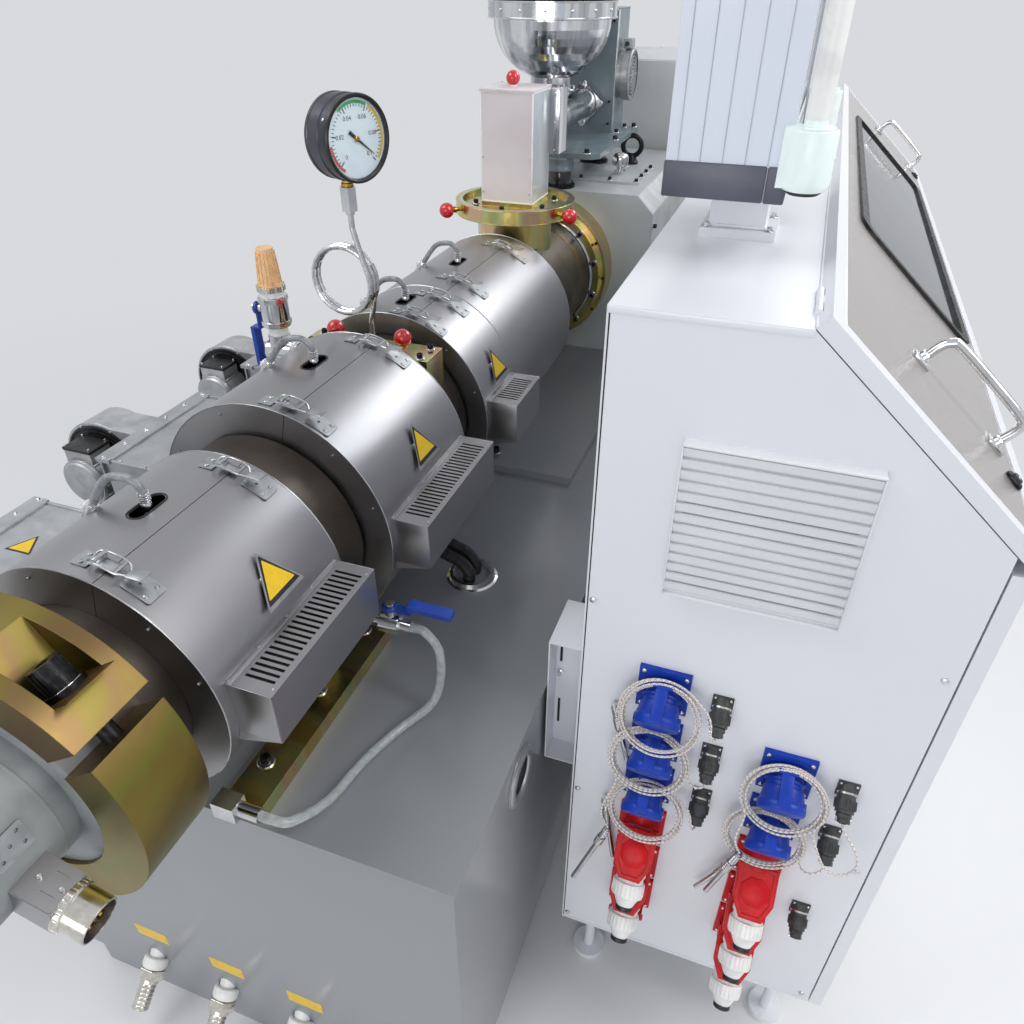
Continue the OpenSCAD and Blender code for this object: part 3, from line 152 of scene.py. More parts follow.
def finish(key, name, tones, patch, rough, grain, bump, edge=0.0, along=(1, 1, 1), fine=None, **sockets):
    """Makes a material. Tones are its colours over patches, and grain its texture, both in millimetres across.

    along draws the patches out along the axes, and fine does so with the grain. edge rounds a CAD node's
    corners in the shading, and sockets are the shader's own constant values.
    """
    material = bpy.data.materials.new(name)
    material.use_nodes = True
    tree = material.node_tree
    tree.nodes.clear()
    shader = add_node(tree, "ShaderNodeBsdfPrincipled",
                      {k.replace("_", " "): v for k, v in sockets.items()})
    add_node(tree, "ShaderNodeOutputMaterial", {"Surface": shader.outputs["BSDF"]})
    place = add_node(tree, "ShaderNodeTexCoord").outputs["Object"]
    noises = []
    for size, drawn, detail in ((patch, along, 4.0), (patch * 0.4, along, 3.0),
                                (grain, fine or along, 2.0)):
        mapped = add_node(tree, "ShaderNodeMapping",
                          {"Vector": place, "Scale": [1000 / (size * d) for d in drawn]})
        noises.append(add_node(tree, "ShaderNodeTexNoise",
                               {"Vector": mapped.outputs["Vector"], "Scale": 1.0, "Detail": detail,
                                "Distortion": 0.4}))
    ramp = add_node(tree, "ShaderNodeValToRGB", {"Fac": noises[0].outputs["Fac"]})
    ramp.color_ramp.interpolation = "EASE"
    points = ramp.color_ramp.elements
    while len(points) < len(tones):
        points.new(0.5)
    for i, (point, tone) in enumerate(zip(points, tones)):
        point.position = 0.34 + 0.32 * i / max(len(tones) - 1, 1)
        point.color = [*tone, 1.0]
    tree.links.new(ramp.outputs["Color"], shader.inputs["Base Color"])
    gloss = add_node(tree, "ShaderNodeMapRange", {"Value": noises[1].outputs["Fac"], "From Min": 0.35,
                                                  "From Max": 0.65, "To Min": rough[0], "To Max": rough[1]},
                    interpolation_type="SMOOTHSTEP")
    tree.links.new(gloss.outputs["Result"], shader.inputs["Roughness"])
    lumps = add_node(tree, "ShaderNodeBump", {"Height": noises[2].outputs["Fac"], "Distance": bump * MM})
    if edge:
        rounded = add_node(tree, "ShaderNodeBevel", {"Radius": edge * MM}, samples=4)
        tree.links.new(rounded.outputs["Normal"], lumps.inputs["Normal"])
    tree.links.new(lumps.outputs["Normal"], shader.inputs["Normal"])
    FINISHES[key] = material
    return tree, shader


def shades(colour, *factors):
    """A colour in several depths."""
    return [[min(1.0, part * factor) for part in colour] for factor in factors]


def hexes(*codes):
    """Several hex colours as linear values."""
    return [linear(code) for code in codes]


def make_finishes(colours):
    """Every finish of the extruder, by the short name that its pieces use."""
    # Powder-coated sheet steel: slow tone changes, a satin gloss and a fine orange peel
    finish("base_paint", "powder_coated_steel_grey", shades(colours.base, 0.97, 1.0, 1.03), 900,
           (0.29, 0.33), 2.0, 0.006, edge=1.5, Coat_Weight=0.3, Coat_Roughness=0.15)
    # Sprayed enamel on cast iron: a slightly coarser skin than the sheet, soft corners
    finish("gearbox_paint", "sprayed_enamel_on_casting", shades(colours.gearbox, 0.92, 1.0, 1.06), 260,
           (0.28, 0.4), 4.0, 0.05, edge=3.0, Coat_Weight=0.2, Coat_Roughness=0.25)
    # Powder-coated white cabinet sheet: cool white with a soft sheen
    finish("cabinet_white", "powder_coated_steel_white", shades(colours.cabinet, 0.98, 1.0, 1.02), 900,
           (0.3, 0.34), 1.6, 0.004, edge=1.2, Coat_Weight=0.25, Coat_Roughness=0.2)
    # Stainless sheet rolled round the barrel: satin, with long brush lines along the axis
    finish("shroud_steel", "rolled_stainless_sheet", hexes("98979A", "9F9EA0", "A6A5A7"), 300, (0.34, 0.4),
           1.6, 0.002, along=(1, 3, 1), fine=(1, 40, 1), Metallic=1.0)
    # Yellow zinc passivation over turned steel: rainbow clouds from gold to green and rose
    finish("zinc", "yellow_passivated_zinc",
           hexes("C9B36A", "D6C67E", "BFC58A", "D2AE8E", "D8C67C", "B9C08E"), 90, (0.2, 0.265), 1.4, 0.004,
           edge=1.2, along=(1, 1, 6), fine=(20, 1, 20), Metallic=1.0)
    # The clamp and the flanges from another bath: deeper gold, with slow clouds of rose and green
    finish("zinc_gold", "deep_gold_passivated_zinc",
           hexes("6A5A2C", "7E6E38", "7A773A", "867440", "826A48", "7E723E"), 260, (0.34, 0.42), 1.4, 0.004,
           edge=1.5, fine=(20, 1, 20), Metallic=1.0)
    # Oiled nitrided steel: dark with brownish patches, dull with brighter rubs
    finish("barrel_steel", "oiled_nitrided_steel", hexes("423B36", "4E4741", "5A534C"), 160, (0.34, 0.46),
           1.8, 0.012, edge=1.2, Metallic=0.9)
    # Galvanised duct sheet: spangle patches a few centimetres across
    finish("duct_steel", "galvanised_sheet", hexes("A3A5A8", "ADAFB2", "B6B8BA"), 60, (0.36, 0.44), 1.4,
           0.003, Metallic=0.85)
    # Cast aluminium under silver lacquer: an even fine grain
    finish("blower_silver", "silver_lacquered_casting", hexes("A2A4A6", "B1B3B4", "BDBEBF"), 40,
           (0.36, 0.5), 1.2, 0.04, edge=2.0, Metallic=0.8)
    # Black-oxided screws: near black, a little brighter on worn corners
    finish("black_oxide", "black_oxided_steel", hexes("141416", "1E1E21", "2C2C30"), 8, (0.32, 0.48), 0.8,
           0.02, edge=0.6, Metallic=0.7)
    # Heat-proof enamel on the die drum: matt grey-green with handling marks
    finish("drum_enamel", "heat_proof_enamel", shades(colours.drum, 0.84, 1.0, 1.12), 70, (0.4, 0.55), 2.0,
           0.03, edge=1.2)
    # Polished stainless: nearly a mirror with faint smears
    finish("bright_steel", "polished_stainless", hexes("BFC0C2", "CFD0D2", "D9DADB"), 60, (0.1, 0.2), 1.0,
           0.003, edge=0.5, Metallic=1.0)
    # Milled steel pocket: brown-grey with coarse cutter marks
    finish("milled", "milled_steel", hexes("5E4A28", "725A31", "866B3A"), 40, (0.38, 0.48), 2.2, 0.05,
           fine=(6, 1, 1), Metallic=1.0)
    # Nickel-plated brass: warm bright metal
    finish("nickel", "nickel_plated_brass", hexes("C4C0B8", "D2CEC6", "DEDBD4"), 20, (0.14, 0.26), 0.9,
           0.006, edge=0.5, Metallic=1.0)
    # Turned brass: fine rings left by the tool
    finish("brass", "turned_brass", hexes("9C7A34", "B8923F", "CBA855"), 12, (0.2, 0.26), 0.7, 0.01,
           Metallic=1.0)
    # Dip-moulded vinyl: thick, glossy and slightly uneven
    finish("blue_vinyl", "dip_moulded_vinyl", shades(colours.vinyl, 0.8, 1.0, 1.2), 30, (0.28, 0.35), 6.0,
           0.06, edge=2.5)
    # Polished phenolic balls: deep colour under a high gloss
    finish("knob_red", "polished_phenolic", shades(colours.knob, 0.9, 1.0, 1.08), 16, (0.08, 0.16), 3.0,
           0.006, Coat_Weight=0.6, Coat_Roughness=0.05)
    # Moulded polyamide: satin with a fine spark-eroded texture
    finish("socket_blue", "moulded_polyamide_blue", shades(colours.blue, 0.88, 1.0, 1.12), 30, (0.32, 0.44),
           0.9, 0.015, edge=1.0, Specular_IOR_Level=0.3)
    finish("socket_red", "moulded_polyamide_red", shades(colours.red, 0.88, 1.0, 1.1), 30, (0.32, 0.44),
           0.9, 0.015, edge=1.0, Specular_IOR_Level=0.2)
    finish("mint", "moulded_polyamide_mint", shades(colours.mint, 0.95, 1.0, 1.04), 40, (0.28, 0.36), 1.2,
           0.01, edge=2.0)
    # Moulded ABS: an even white with a soft gloss
    finish("white_abs", "moulded_abs_white", hexes("DCDCDC", "E6E6E5", "EBEBEA"), 40, (0.3, 0.42), 1.0,
           0.01, edge=1.0)
    # Moulded ABS in light grey: the air inlet's frame and slats
    finish("louver_grey", "moulded_abs_light_grey", hexes("D4D7DC", "DADCE1", "DFE1E5"), 200, (0.4, 0.5),
           1.1, 0.012, edge=0.6)
    # Painted die casting: dark grey, slightly rough
    finish("plug_grey", "painted_die_casting", hexes("2B2C2E", "37383A", "434446"), 14, (0.36, 0.5), 0.8,
           0.02, edge=0.8)
    # Moulded rubber: black, dull
    finish("black_rubber", "moulded_rubber", hexes("0D0D0E", "151516", "1E1E1F"), 30, (0.42, 0.6), 1.4,
           0.02)
    # Hammer enamel: dark slate, dimpled at about 4 mm
    finish("slate", "hammer_enamel", shades(colours.slate, 0.86, 1.0, 1.14), 120, (0.29, 0.4), 4.0, 0.04,
           edge=2.0, Coat_Weight=0.3, Coat_Roughness=0.2)
    # Moulded polypropylene cap: waxy, slightly faded
    finish("cap_orange", "moulded_polypropylene", shades(colours.cap, 0.85, 1.0, 1.12), 18, (0.36, 0.5),
           1.2, 0.03)
    # Printed vinyl film on sheet: even yellow
    finish("plate_yellow", "printed_vinyl_film", shades(colours.plate, 0.94, 1.0, 1.04), 14, (0.3, 0.4),
           0.9, 0.006)
    finish("plate_black", "printed_vinyl_border", hexes("141414", "1A1A1A", "202020"), 14, (0.3, 0.4), 0.9,
           0.006)
    # Silver hammer lacquer: dimples about 5 mm apart, half metallic
    finish("silver_panel", "silver_hammer_lacquer", hexes("B8B3B0", "BBB6B3", "BEB9B6"), 400, (0.24, 0.26),
           6.0, 0.9, edge=1.0, Metallic=0.7)
    # Latch parts pressed from bright steel strip: cleaner and brighter than the shroud
    finish("latch_steel", "pressed_bright_steel", hexes("9EA0A2", "ACAEB0", "B8BABC"), 30, (0.28, 0.36),
           1.0, 0.005, Metallic=1.0)
    # Fine-ground stainless of the hopper: bright, with a fine upright grain; its tall streaks of lighter and
    # darker grey are painted reflections
    finish("hopper_steel", "fine_ground_stainless_painted_reflections", hexes("85888D", "B9BBBF", "DCDDE0", "F0F0F1"), 60,
           (0.1, 0.18), 1.4, 0.001, along=(1, 1, 9), fine=(30, 30, 1), Metallic=1.0)
    # Anodised aluminium strip: silver, satin. The same finish lies on the gearbox's top chamfer as a painted
    # highlight
    finish("silver_strip_and_painted_highlight", "aluminium_strip_and_painted_highlight", hexes("C9CBCD", "D6D8D9", "E0E1E2"), 60,
           (0.28, 0.34), 1.2, 0.004, Metallic=0.9)
    # Silver-grey lacquer of the feeder's motor
    finish("feeder_silver", "grey_lacquered_casting", hexes("8A8F93", "989DA1", "A5AAAD"), 40, (0.34, 0.46),
           1.4, 0.03, edge=1.0, Metallic=0.3)
    # Gloss black enamel of the feeder's post
    finish("post_black", "black_gloss_enamel", hexes("101114", "16181B", "1D1F23"), 60, (0.08, 0.16), 2.0,
           0.006, Coat_Weight=0.5, Coat_Roughness=0.05)
    # Sleeve of the thermocouples: grey silicone over braid
    finish("sleeve_grey", "silicone_sleeve", hexes("6E7276", "82868A", "94989B"), 12, (0.3, 0.42), 1.0,
           0.03)
    # Tinted polycarbonate in the lid: dark, it mirrors the lamps
    finish("window_dark", "tinted_polycarbonate", hexes("20262B", "2A3137", "343C42"), 300, (0.04, 0.09),
           60, 0.0, Specular_Tint=(0.32, 0.28, 0.28, 1.0))
    # Anodised profile of the terminal: cool white with a faint drawn line
    finish("profile_white", "anodised_white_profile", hexes("CDD3E0", "D3D9E5", "D8DEE9"), 500, (0.3, 0.36),
           1.2, 0.003, edge=1.0, fine=(1, 1, 30))
    # Joint between two profiles: grey, not quite dark
    finish("profile_joint", "profile_joint_line", hexes("A4AAB6", "ACB2BD", "B4B9C3"), 60, (0.5, 0.6), 1.2,
           0.004)
    # Moulded bottom trim of the terminal: blue-grey
    finish("trim_dark", "moulded_abs_blue_grey", hexes("484B57", "505360", "585B67"), 120, (0.38, 0.46),
           1.0, 0.008, edge=1.0)
    # Shade under each slat of the air inlet
    finish("louver_shade", "moulded_abs_in_shade", hexes("A8ABB0", "B0B3B8", "B8BABF"), 200, (0.5, 0.6),
           1.1, 0.004)
    # Blackened steel case of the gauge: blue-black with a soft gloss
    finish("gauge_case", "blackened_steel_case", hexes("34343C", "42424C", "50505A"), 60, (0.28, 0.36), 1.0,
           0.01, edge=0.8, Metallic=0.6)
    # Thread tape wound on the pipe: soft matt white
    finish("thread_tape", "thread_seal_tape", hexes("DCDCDA", "E6E6E4", "EDEDEB"), 6, (0.55, 0.7), 1.0,
           0.06)
    # Acrylic sheet still in its milky protective film: pinkish white, a little light comes through
    finish("chute_film", "acrylic_under_film", hexes("E4DADD", "EAE1E4", "EFE8EA"), 200, (0.22, 0.26), 40,
           0.0, Transmission_Weight=0.2, IOR=1.49, Alpha=0.94)
    # Bare cast acrylic on the chute's right: bluish and clearer than the film
    finish("chute_clear", "cast_acrylic_sheet", hexes("D6DFE8", "DEE6ED", "E6ECF2"), 200, (0.05, 0.08), 40,
           0.0, Transmission_Weight=0.3, IOR=1.49, Alpha=0.8)
    # Soft PVC tube: clear with a greyish bore, glossy outside
    finish("hose_pvc", "extruded_soft_pvc", hexes("BCC4C5", "CBD2D3", "DADFDF"), 12, (0.1, 0.18), 6, 0.03,
           Transmission_Weight=0.5, IOR=1.45, Alpha=0.85)
    # Float glass: almost clear, it shows by its reflections
    finish("glass", "float_glass", hexes("DDE8E8", "E4EEEE", "ECF3F3"), 200, (0.01, 0.03), 60, 0.002,
           Transmission_Weight=1.0, IOR=1.45, Alpha=0.1)
    # Printed dial: pale cyan ink on aluminium
    finish("dial", "printed_dial", hexes("DCECF3", "E2F0F6", "E7F3F8"), 50, (0.4, 0.5), 1.2, 0.003)
    finish("dial_green", "printed_dial_green", hexes("3E9A56", "49A862", "55B46C"), 20, (0.4, 0.5), 1.2,
           0.003)
    finish("dial_red", "printed_dial_red", hexes("B83A32", "C6453C", "D05046"), 20, (0.4, 0.5), 1.2, 0.003)
    # Dark gap between sheets, painted shadow: a near-black sheet for what a seam, slot or bore shows where no
    # light gets in
    finish("shadow_gap", "painted_shadow_in_gaps", hexes("0A0A0B", "101011", "161617"), 20, (0.6, 0.8), 1.2, 0.01)
    # Screen glass: black with a clear gloss
    finish("screen", "coated_screen_glass", hexes("101316", "14181C", "191D22"), 80, (0.05, 0.1), 60, 0.004,
           Coat_Weight=0.5, Coat_Roughness=0.03)
    # Glass-fibre braid: off-white yarn woven about a millimetre apart, with a red and a black tracer
    # wound round it every 9 mm. The weave is drawn a little coarser than it is, so that it shows
    tree, shader = finish("braid", "glass_fibre_braid", hexes("CFCBC6", "DAD7D2", "E4E1DD"), 5, (0.5, 0.62),
                          1.2, 0.08, Sheen_Weight=0.3)
    yarn = shader.inputs["Base Color"].links[0].from_socket
    way = add_node(tree, "ShaderNodeSeparateXYZ",
                   {"Vector": add_node(tree, "ShaderNodeUVMap").outputs["UV"]})
    tracer_pitch = 9.0
    for hand, tracer in ((1.0, "A87F7C"), (-1.0, "8E8A8A")):
        pitch = add_node(tree, "ShaderNodeMath", {0: way.outputs["Y"], 1: 1000 / tracer_pitch},
                         operation="MULTIPLY")
        wound = add_node(tree, "ShaderNodeMath", {0: way.outputs["X"], 1: hand, 2: pitch.outputs[0]},
                         operation="MULTIPLY_ADD")
        part = add_node(tree, "ShaderNodeMath", {0: wound.outputs[0]}, operation="FRACT")
        thread = add_node(tree, "ShaderNodeMath", {0: part.outputs[0], 1: 0.15}, operation="LESS_THAN")
        mixed = add_node(tree, "ShaderNodeMix", {0: thread.outputs[0], 6: yarn, 7: [*linear(tracer), 1]},
                         data_type="RGBA")
        yarn = mixed.outputs[2]
    tree.links.new(yarn, shader.inputs["Base Color"])


def facing(place, normal=UP, up=UP):
    """The frame at a place whose z axis is the normal and whose y axis points as far up as it can."""
    z = Vector(normal).normalized()
    x = Vector(up).cross(z)
    x = x.normalized() if x.length > 1e-6 else Vector((1, 0, 0))
    return Matrix.Translation(Vector(place)) @ Matrix((x, z.cross(x), z)).transposed().to_4x4()


def moved(x, y, z):
    """The frame moved by so much."""
    return Matrix.Translation((x, y, z))


def turn(degrees, axis):
    """The frame turned about one of its axes."""
    return Matrix.Rotation(radians(degrees), 4, axis)


def on_shroud(angle, y, r):
    """The frame on a shroud: angle from +X in degrees, place along the axis and radius, facing outwards."""
    a = radians(angle)
    return facing((r * cos(a), y, AXIS + r * sin(a)), (cos(a), 0, sin(a)), (0, 1, 0))


def circle(r, steps=24, x=0.0, y=0.0, first=0.0):
    """Points of a circle about a centre, from a first angle in degrees."""
    angles = [radians(first) + 2 * pi * k / steps for k in range(steps)]
    return [(x + r * cos(a), y + r * sin(a)) for a in angles]


def rounded(wide, high, r, x=0.0, y=0.0, steps=5):
    """Points of a rectangle with rounded corners, about a centre."""
    points = []
    for side_x, side_y, start in ((1, 1, 0), (-1, 1, 90), (-1, -1, 180), (1, -1, 270)):
        for k in range(steps + 1):
            a = radians(start + 90 * k / steps)
            points.append((x + side_x * (wide / 2 - r) + r * cos(a),
                           y + side_y * (high / 2 - r) + r * sin(a)))
    return points


def smooth(points, steps):
    """Points of the smooth curve through chosen points that the part's source uses too."""
    p = [Vector(q) for q in points]
    curve = []
    for i in range(len(p) - 1):
        a, b, c, d = p[max(i - 1, 0)], p[i], p[i + 1], p[min(i + 2, len(p) - 1)]
        for s in range(steps):
            t = s / steps
            curve.append(0.5 * (2 * b + (c - a) * t + (2 * a - 5 * b + 4 * c - d) * t * t
                                + (3 * b - a - 3 * c + d) * t ** 3))
    return curve + [p[-1]]


def laid(points, step, rounds):
    """The same line in even steps, with its corners eased so many times."""
    even, due, gone = [points[0]], step, 0.0
    for a, b in zip(points, points[1:]):
        while gone + (b - a).length >= due:
            even.append(a.lerp(b, (due - gone) / (b - a).length))
            due += step
        gone += (b - a).length
    even.append(points[-1])
    for _ in range(rounds):
        even = [even[0], *((a + 2 * b + c) / 4 for a, b, c in zip(even, even[1:], even[2:])), even[-1]]
    return even


class Shape:
    """One piece made of several forms, built in millimetres where it stands."""

    def __init__(self, name, slot=None, body="machine"):
        self.name, self.slot, self.body = name, slot, body
        self.mesh = bmesh.new()
        self.along = self.mesh.loops.layers.uv.new("along")
        self.finishes = []

    def add(self, points, faces, finish_key, at=None, uvs=None):
        """Adds the points and faces of one form in a finish, moved by the frame at, with each corner's uv."""
        if finish_key not in self.finishes:
            self.finishes.append(finish_key)
        corners = [self.mesh.verts.new(at @ Vector(p) if at else Vector(p)) for p in points]
        made = []
        for n, face in enumerate(faces):
            made.append(self.mesh.faces.new([corners[c] for c in face]))
            made[-1].material_index = self.finishes.index(finish_key)
            if uvs and n < len(uvs):
                for loop, place in zip(made[-1].loops, uvs[n]):
                    loop[self.along].uv = place
        bmesh.ops.recalc_face_normals(self.mesh, faces=made)
        return made

    def block(self, low, high, finish_key, edge=1.0, at=None):
        """A block between two corners, with its edges rounded."""
        points = [(x, y, z) for z in (low[2], high[2]) for y in (low[1], high[1])
                  for x in (low[0], high[0])]
        made = self.add(points,
                        [(0, 2, 3, 1), (4, 5, 7, 6), (0, 1, 5, 4), (2, 6, 7, 3), (0, 4, 6, 2),
                         (1, 3, 7, 5)], finish_key, at)
        if edge:
            bmesh.ops.bevel(self.mesh, geom=list({e for f in made for e in f.edges}), offset=edge,
                            segments=2, affect="EDGES", profile=0.5, clamp_overlap=True, material=-1)

    def turned(self, profile, finish_key, at, steps=24, start=0.0):
        """Turns (radius, height) points round the frame's z axis. A radius of nought closes an end."""
        points, rings, faces = [], [], []
        for r, h in profile:
            count = steps if r > 0 else 1
            rings.append([len(points) + k for k in range(count)])
            points += [(r * cos(2 * pi * (k + start) / steps), r * sin(2 * pi * (k + start) / steps), h)
                       for k in range(count)]
        for low, high in zip(rings, rings[1:]):
            for k in range(steps):
                n = (k + 1) % steps
                ring = [low[k % len(low)], low[n % len(low)], high[n % len(high)], high[k % len(high)]]
                ring = [c for i, c in enumerate(ring) if c not in ring[:i]]
                if len(ring) > 2:
                    faces.append(ring)
        return self.add(points, faces, finish_key, at)

    def swept(self, path, r, finish_key, steps=10, ends=True):
        """A round bar along a line of points. Its radius may change from point to point."""
        path = [Vector(p) for p in path]
        radii = r if isinstance(r, (list, tuple)) else [r] * len(path)
        ways = [(path[min(i + 1, len(path) - 1)] - path[max(i - 1, 0)]).normalized()
                for i in range(len(path))]
        side = ways[0].orthogonal().normalized()
        points, lengths, gone = [], [], 0.0
        for i, (place, way) in enumerate(zip(path, ways)):
            side = (side - way * side.dot(way)).normalized()
            other = way.cross(side)
            gone += (place - path[i - 1]).length * MM if i else 0.0
            lengths.append(gone)
            points += [place + radii[i] * (side * cos(2 * pi * k / steps) + other * sin(2 * pi * k / steps))
                       for k in range(steps)]
        faces = [(i * steps + k, i * steps + (k + 1) % steps, (i + 1) * steps + (k + 1) % steps,
                  (i + 1) * steps + k) for i in range(len(path) - 1) for k in range(steps)]
        if ends:
            faces += [tuple(range(steps)), tuple(range(len(points) - 1, len(points) - 1 - steps, -1))]
        uvs = [((k / steps, lengths[i]), ((k + 1) / steps, lengths[i]), ((k + 1) / steps, lengths[i + 1]),
                (k / steps, lengths[i + 1])) for i in range(len(path) - 1) for k in range(steps)]
        return self.add(points, faces, finish_key, None, uvs)

    def plate(self, outline, thick, finish_key, at, holes=()):
        """A flat plate cut to an outline with holes in it, from the frame's plane outwards."""
        cut = bpy.data.curves.new("cut", "CURVE")
        cut.dimensions, cut.fill_mode, cut.extrude = "2D", "BOTH", thick / 2
        for loop in (outline, *holes):
            spline = cut.splines.new("POLY")
            spline.points.add(len(loop) - 1)
            spline.use_cyclic_u = True
            for point, (x, y) in zip(spline.points, loop):
                point.co = (x, y, 0, 1)
        holder = bpy.data.objects.new("cut", cut)
        sheet = bpy.data.meshes.new_from_object(holder)
        self.add([(v.co.x, v.co.y, v.co.z + thick / 2) for v in sheet.vertices],
                 [tuple(p.vertices) for p in sheet.polygons], finish_key, at)
        bpy.data.objects.remove(holder)
        bpy.data.curves.remove(cut)
        bpy.data.meshes.remove(sheet)

    def fins(self, count, low, high, finish_key, edge, at):
        """The same block so many times round the frame's z axis."""
        for k in range(count):
            self.block(low, high, finish_key, edge, at @ turn(360 * k / count, "Z"))

    def screw(self, at, r, finish_key="black_oxide", washer=None, sides=0):
        """A socket cap screw, or one with so many sides, on its washer."""
        base = 0.3 * r
        if washer:
            self.turned([(0, 0), (1.7 * r, 0), (1.7 * r, 0.2 * r), (1.6 * r, base), (0, base)], washer, at,
                        20)
        if sides:
            self.turned([(0, 0), (r, 0), (r, 1.2 * r), (0.88 * r, 1.4 * r), (0, 1.4 * r)], finish_key, at,
                        sides, 0.5)
        else:
            self.turned([(0, 0), (r, 0), (r, 1.5 * r), (0.9 * r, 1.65 * r), (0.58 * r, 1.65 * r),
                         (0.52 * r, 1.0 * r), (0, 0.9 * r)], finish_key, at, 18)

    def ball(self, at, r, finish_key, steps=24):
        """A turned ball knob, a little flat where its stem goes in."""
        flat, arcs = 0.14, 12
        angles = [pi * (flat + (1 - flat) * k / arcs) for k in range(arcs)]
        profile = [(r * sin(a), -r * cos(a)) for a in angles]
        profile[0] = (0.42 * r, profile[0][1])
        self.turned([*profile, (0, r)], finish_key, at, steps)

    def done(self):
        """Makes the object and lets it ride on its body."""
        bmesh.ops.scale(self.mesh, vec=(MM, MM, MM), verts=self.mesh.verts[:])
        for face in self.mesh.faces:
            face.smooth = True
        mesh = bpy.data.meshes.new(self.name)
        self.mesh.to_mesh(mesh)
        self.mesh.free()
        mesh.set_sharp_from_angle(angle=radians(34))
        for key in self.finishes:
            mesh.materials.append(FINISHES[key])
        piece = bpy.data.objects.new(self.name, mesh)
        bpy.context.scene.collection.objects.link(piece)
        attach(piece, self.body)
        return piece if self.slot else piece


def dress(finish_key, *nodes):
    """Gives CAD nodes a finish."""
    for name in nodes:
        node = frame["nodes"][name]
        if not node.material_slots:
            node.data.materials.append(FINISHES[finish_key])
        for place in node.material_slots:
            place.link = "OBJECT"
            place.material = FINISHES[finish_key]


# The routes of the hose, conduits and leads, as the part's source has them
HOSE = [(282, 326, 1058), (294, 326, 1058), (306, 326, 1056), (334, 322, 1022), (336, 312, 950),
        (322, 292, 906), (288, 236, 893), (260, 150, 893), (246, 60, 898), (224, -6, 924), (202, -17, 934),
        (191, -18, 934), (180, -18, 934)]
CONDUIT_END = (231.3 * cos(radians(50)), AXIS - 231.3 * sin(radians(50)))
PLUG_COLS, SOCKET_COLS, BLUE_ROW, BLUE_PITCH = (821, 1043), (724, 946), 1023, 121
RED_ROW, RED_PITCH = 650, 117
COILS = [(0, 0, 4, 33, 20, 20), (0, 1, -4, 33, 20, 14), (0, 2, 6, 39, 30, 14), (1, 1, 4, 33, 20, 15),
         (1, 2, -8, 27, 26, 8)]
COIL_R = 64
PROBE_TOPS = [(646, 358, 966), (668, 310, 684), (648, 356, 706), (903, 306, 735), (904, 350, 645)]
PROBE_ENDS = [(680, 358, 832), (610, 310, 484), (678, 356, 526), (864, 306, 592), (848, 350, 522)]
PLUG_WAYS = [[(813, 311, 990), (808, 324, 1026)], [(806, 318, 858)], [(813, 311, 752), (808, 320, 782)],
             [(1076, 304, 824), (1076, 296, 790), (1040, 292, 776)], [(1020, 314, 722)]]
PROBE_WAYS = [[], [(652, 302, 742)], [], [(888, 300, 780)], []]
JOIN_AT = [(42, 190), (-12, 228), (36, 195), (-40, 222), (-28, 232)]
CABINET_END = 370
# What the camera and reflections see behind the object, and the world's own light
BACKDROP, SKY, SKY_LIGHT = "D8DADD", "EEF1F5", 0.52
GLAND_TILT = 38
# The deck's cable collar, and the conduit's radius with its ridges' height
COLLAR_X, COLLAR_Y = 244, 688
CONDUIT_R, RIDGE_RISE = 13.1, 0.7


def gland(column, row, out=56):
    """A point on a round plug's axis, so far out from the wall."""
    tilt = radians(GLAND_TILT)
    return Vector((PLUG_COLS[column], CABINET_END - out * cos(tilt),
                   BLUE_ROW - row * BLUE_PITCH - out * sin(tilt)))


def on_coil(i, angle, r=COIL_R, off=0.0):
    """A point on a hung coil by its angle from the right, its radius and its place off the coil's plane."""
    column, row, dx, drop, out, tilt = COILS[i]
    d, t = r * sin(radians(angle)) - COIL_R, radians(tilt)
    top = Vector((SOCKET_COLS[column] + dx, CABINET_END - out, BLUE_ROW - row * BLUE_PITCH - drop + COIL_R))
    return top + Vector((r * cos(radians(angle)), d * sin(t) - off * cos(t), d * cos(t) + off * sin(t)))


def make_hose():
    """The clear hose from the drain valve to its fitting on the deck's front edge."""
    route = smooth(HOSE, 3)
    hose = Shape("water_hose_tube", "clear_hose")
    hose.swept(route, 8.0, "hose_pvc", 16)
    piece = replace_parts(hose.done(), "water_hose")


def make_conduits(ridge):
    """The two black corrugated conduits from the deck's collar up to the second shroud."""
    end_x, end_z = CONDUIT_END
    for side, label in ((-1, "front"), (1, "rear")):
        y = COLLAR_Y + side * 18
        route = smooth([*((COLLAR_X, y, DECK + z) for z in (0, 14, 26)), (COLLAR_X - 14, y - 8, DECK + 56),
                        (end_x + 54, y - 20, end_z - 50), (end_x + 26, y - 26, end_z - 30),
                        (end_x, y - 28, end_z)], 3)
        line, radii, gone = [route[0]], [CONDUIT_R], 0.0
        for a, b in zip(route, route[1:]):
            steps = max(1, ceil((b - a).length / (ridge / 4)))
            for k in range(1, steps + 1):
                line.append(a.lerp(b, k / steps))
                gone += (b - a).length / steps
                radii.append(CONDUIT_R + RIDGE_RISE * cos(2 * pi * gone / ridge))
        tube = Shape(f"conduit_{label}", "black_conduit")
        tube.swept(line, radii, "black_rubber", 16)
        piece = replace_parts(tube.done(), "cable_conduits")


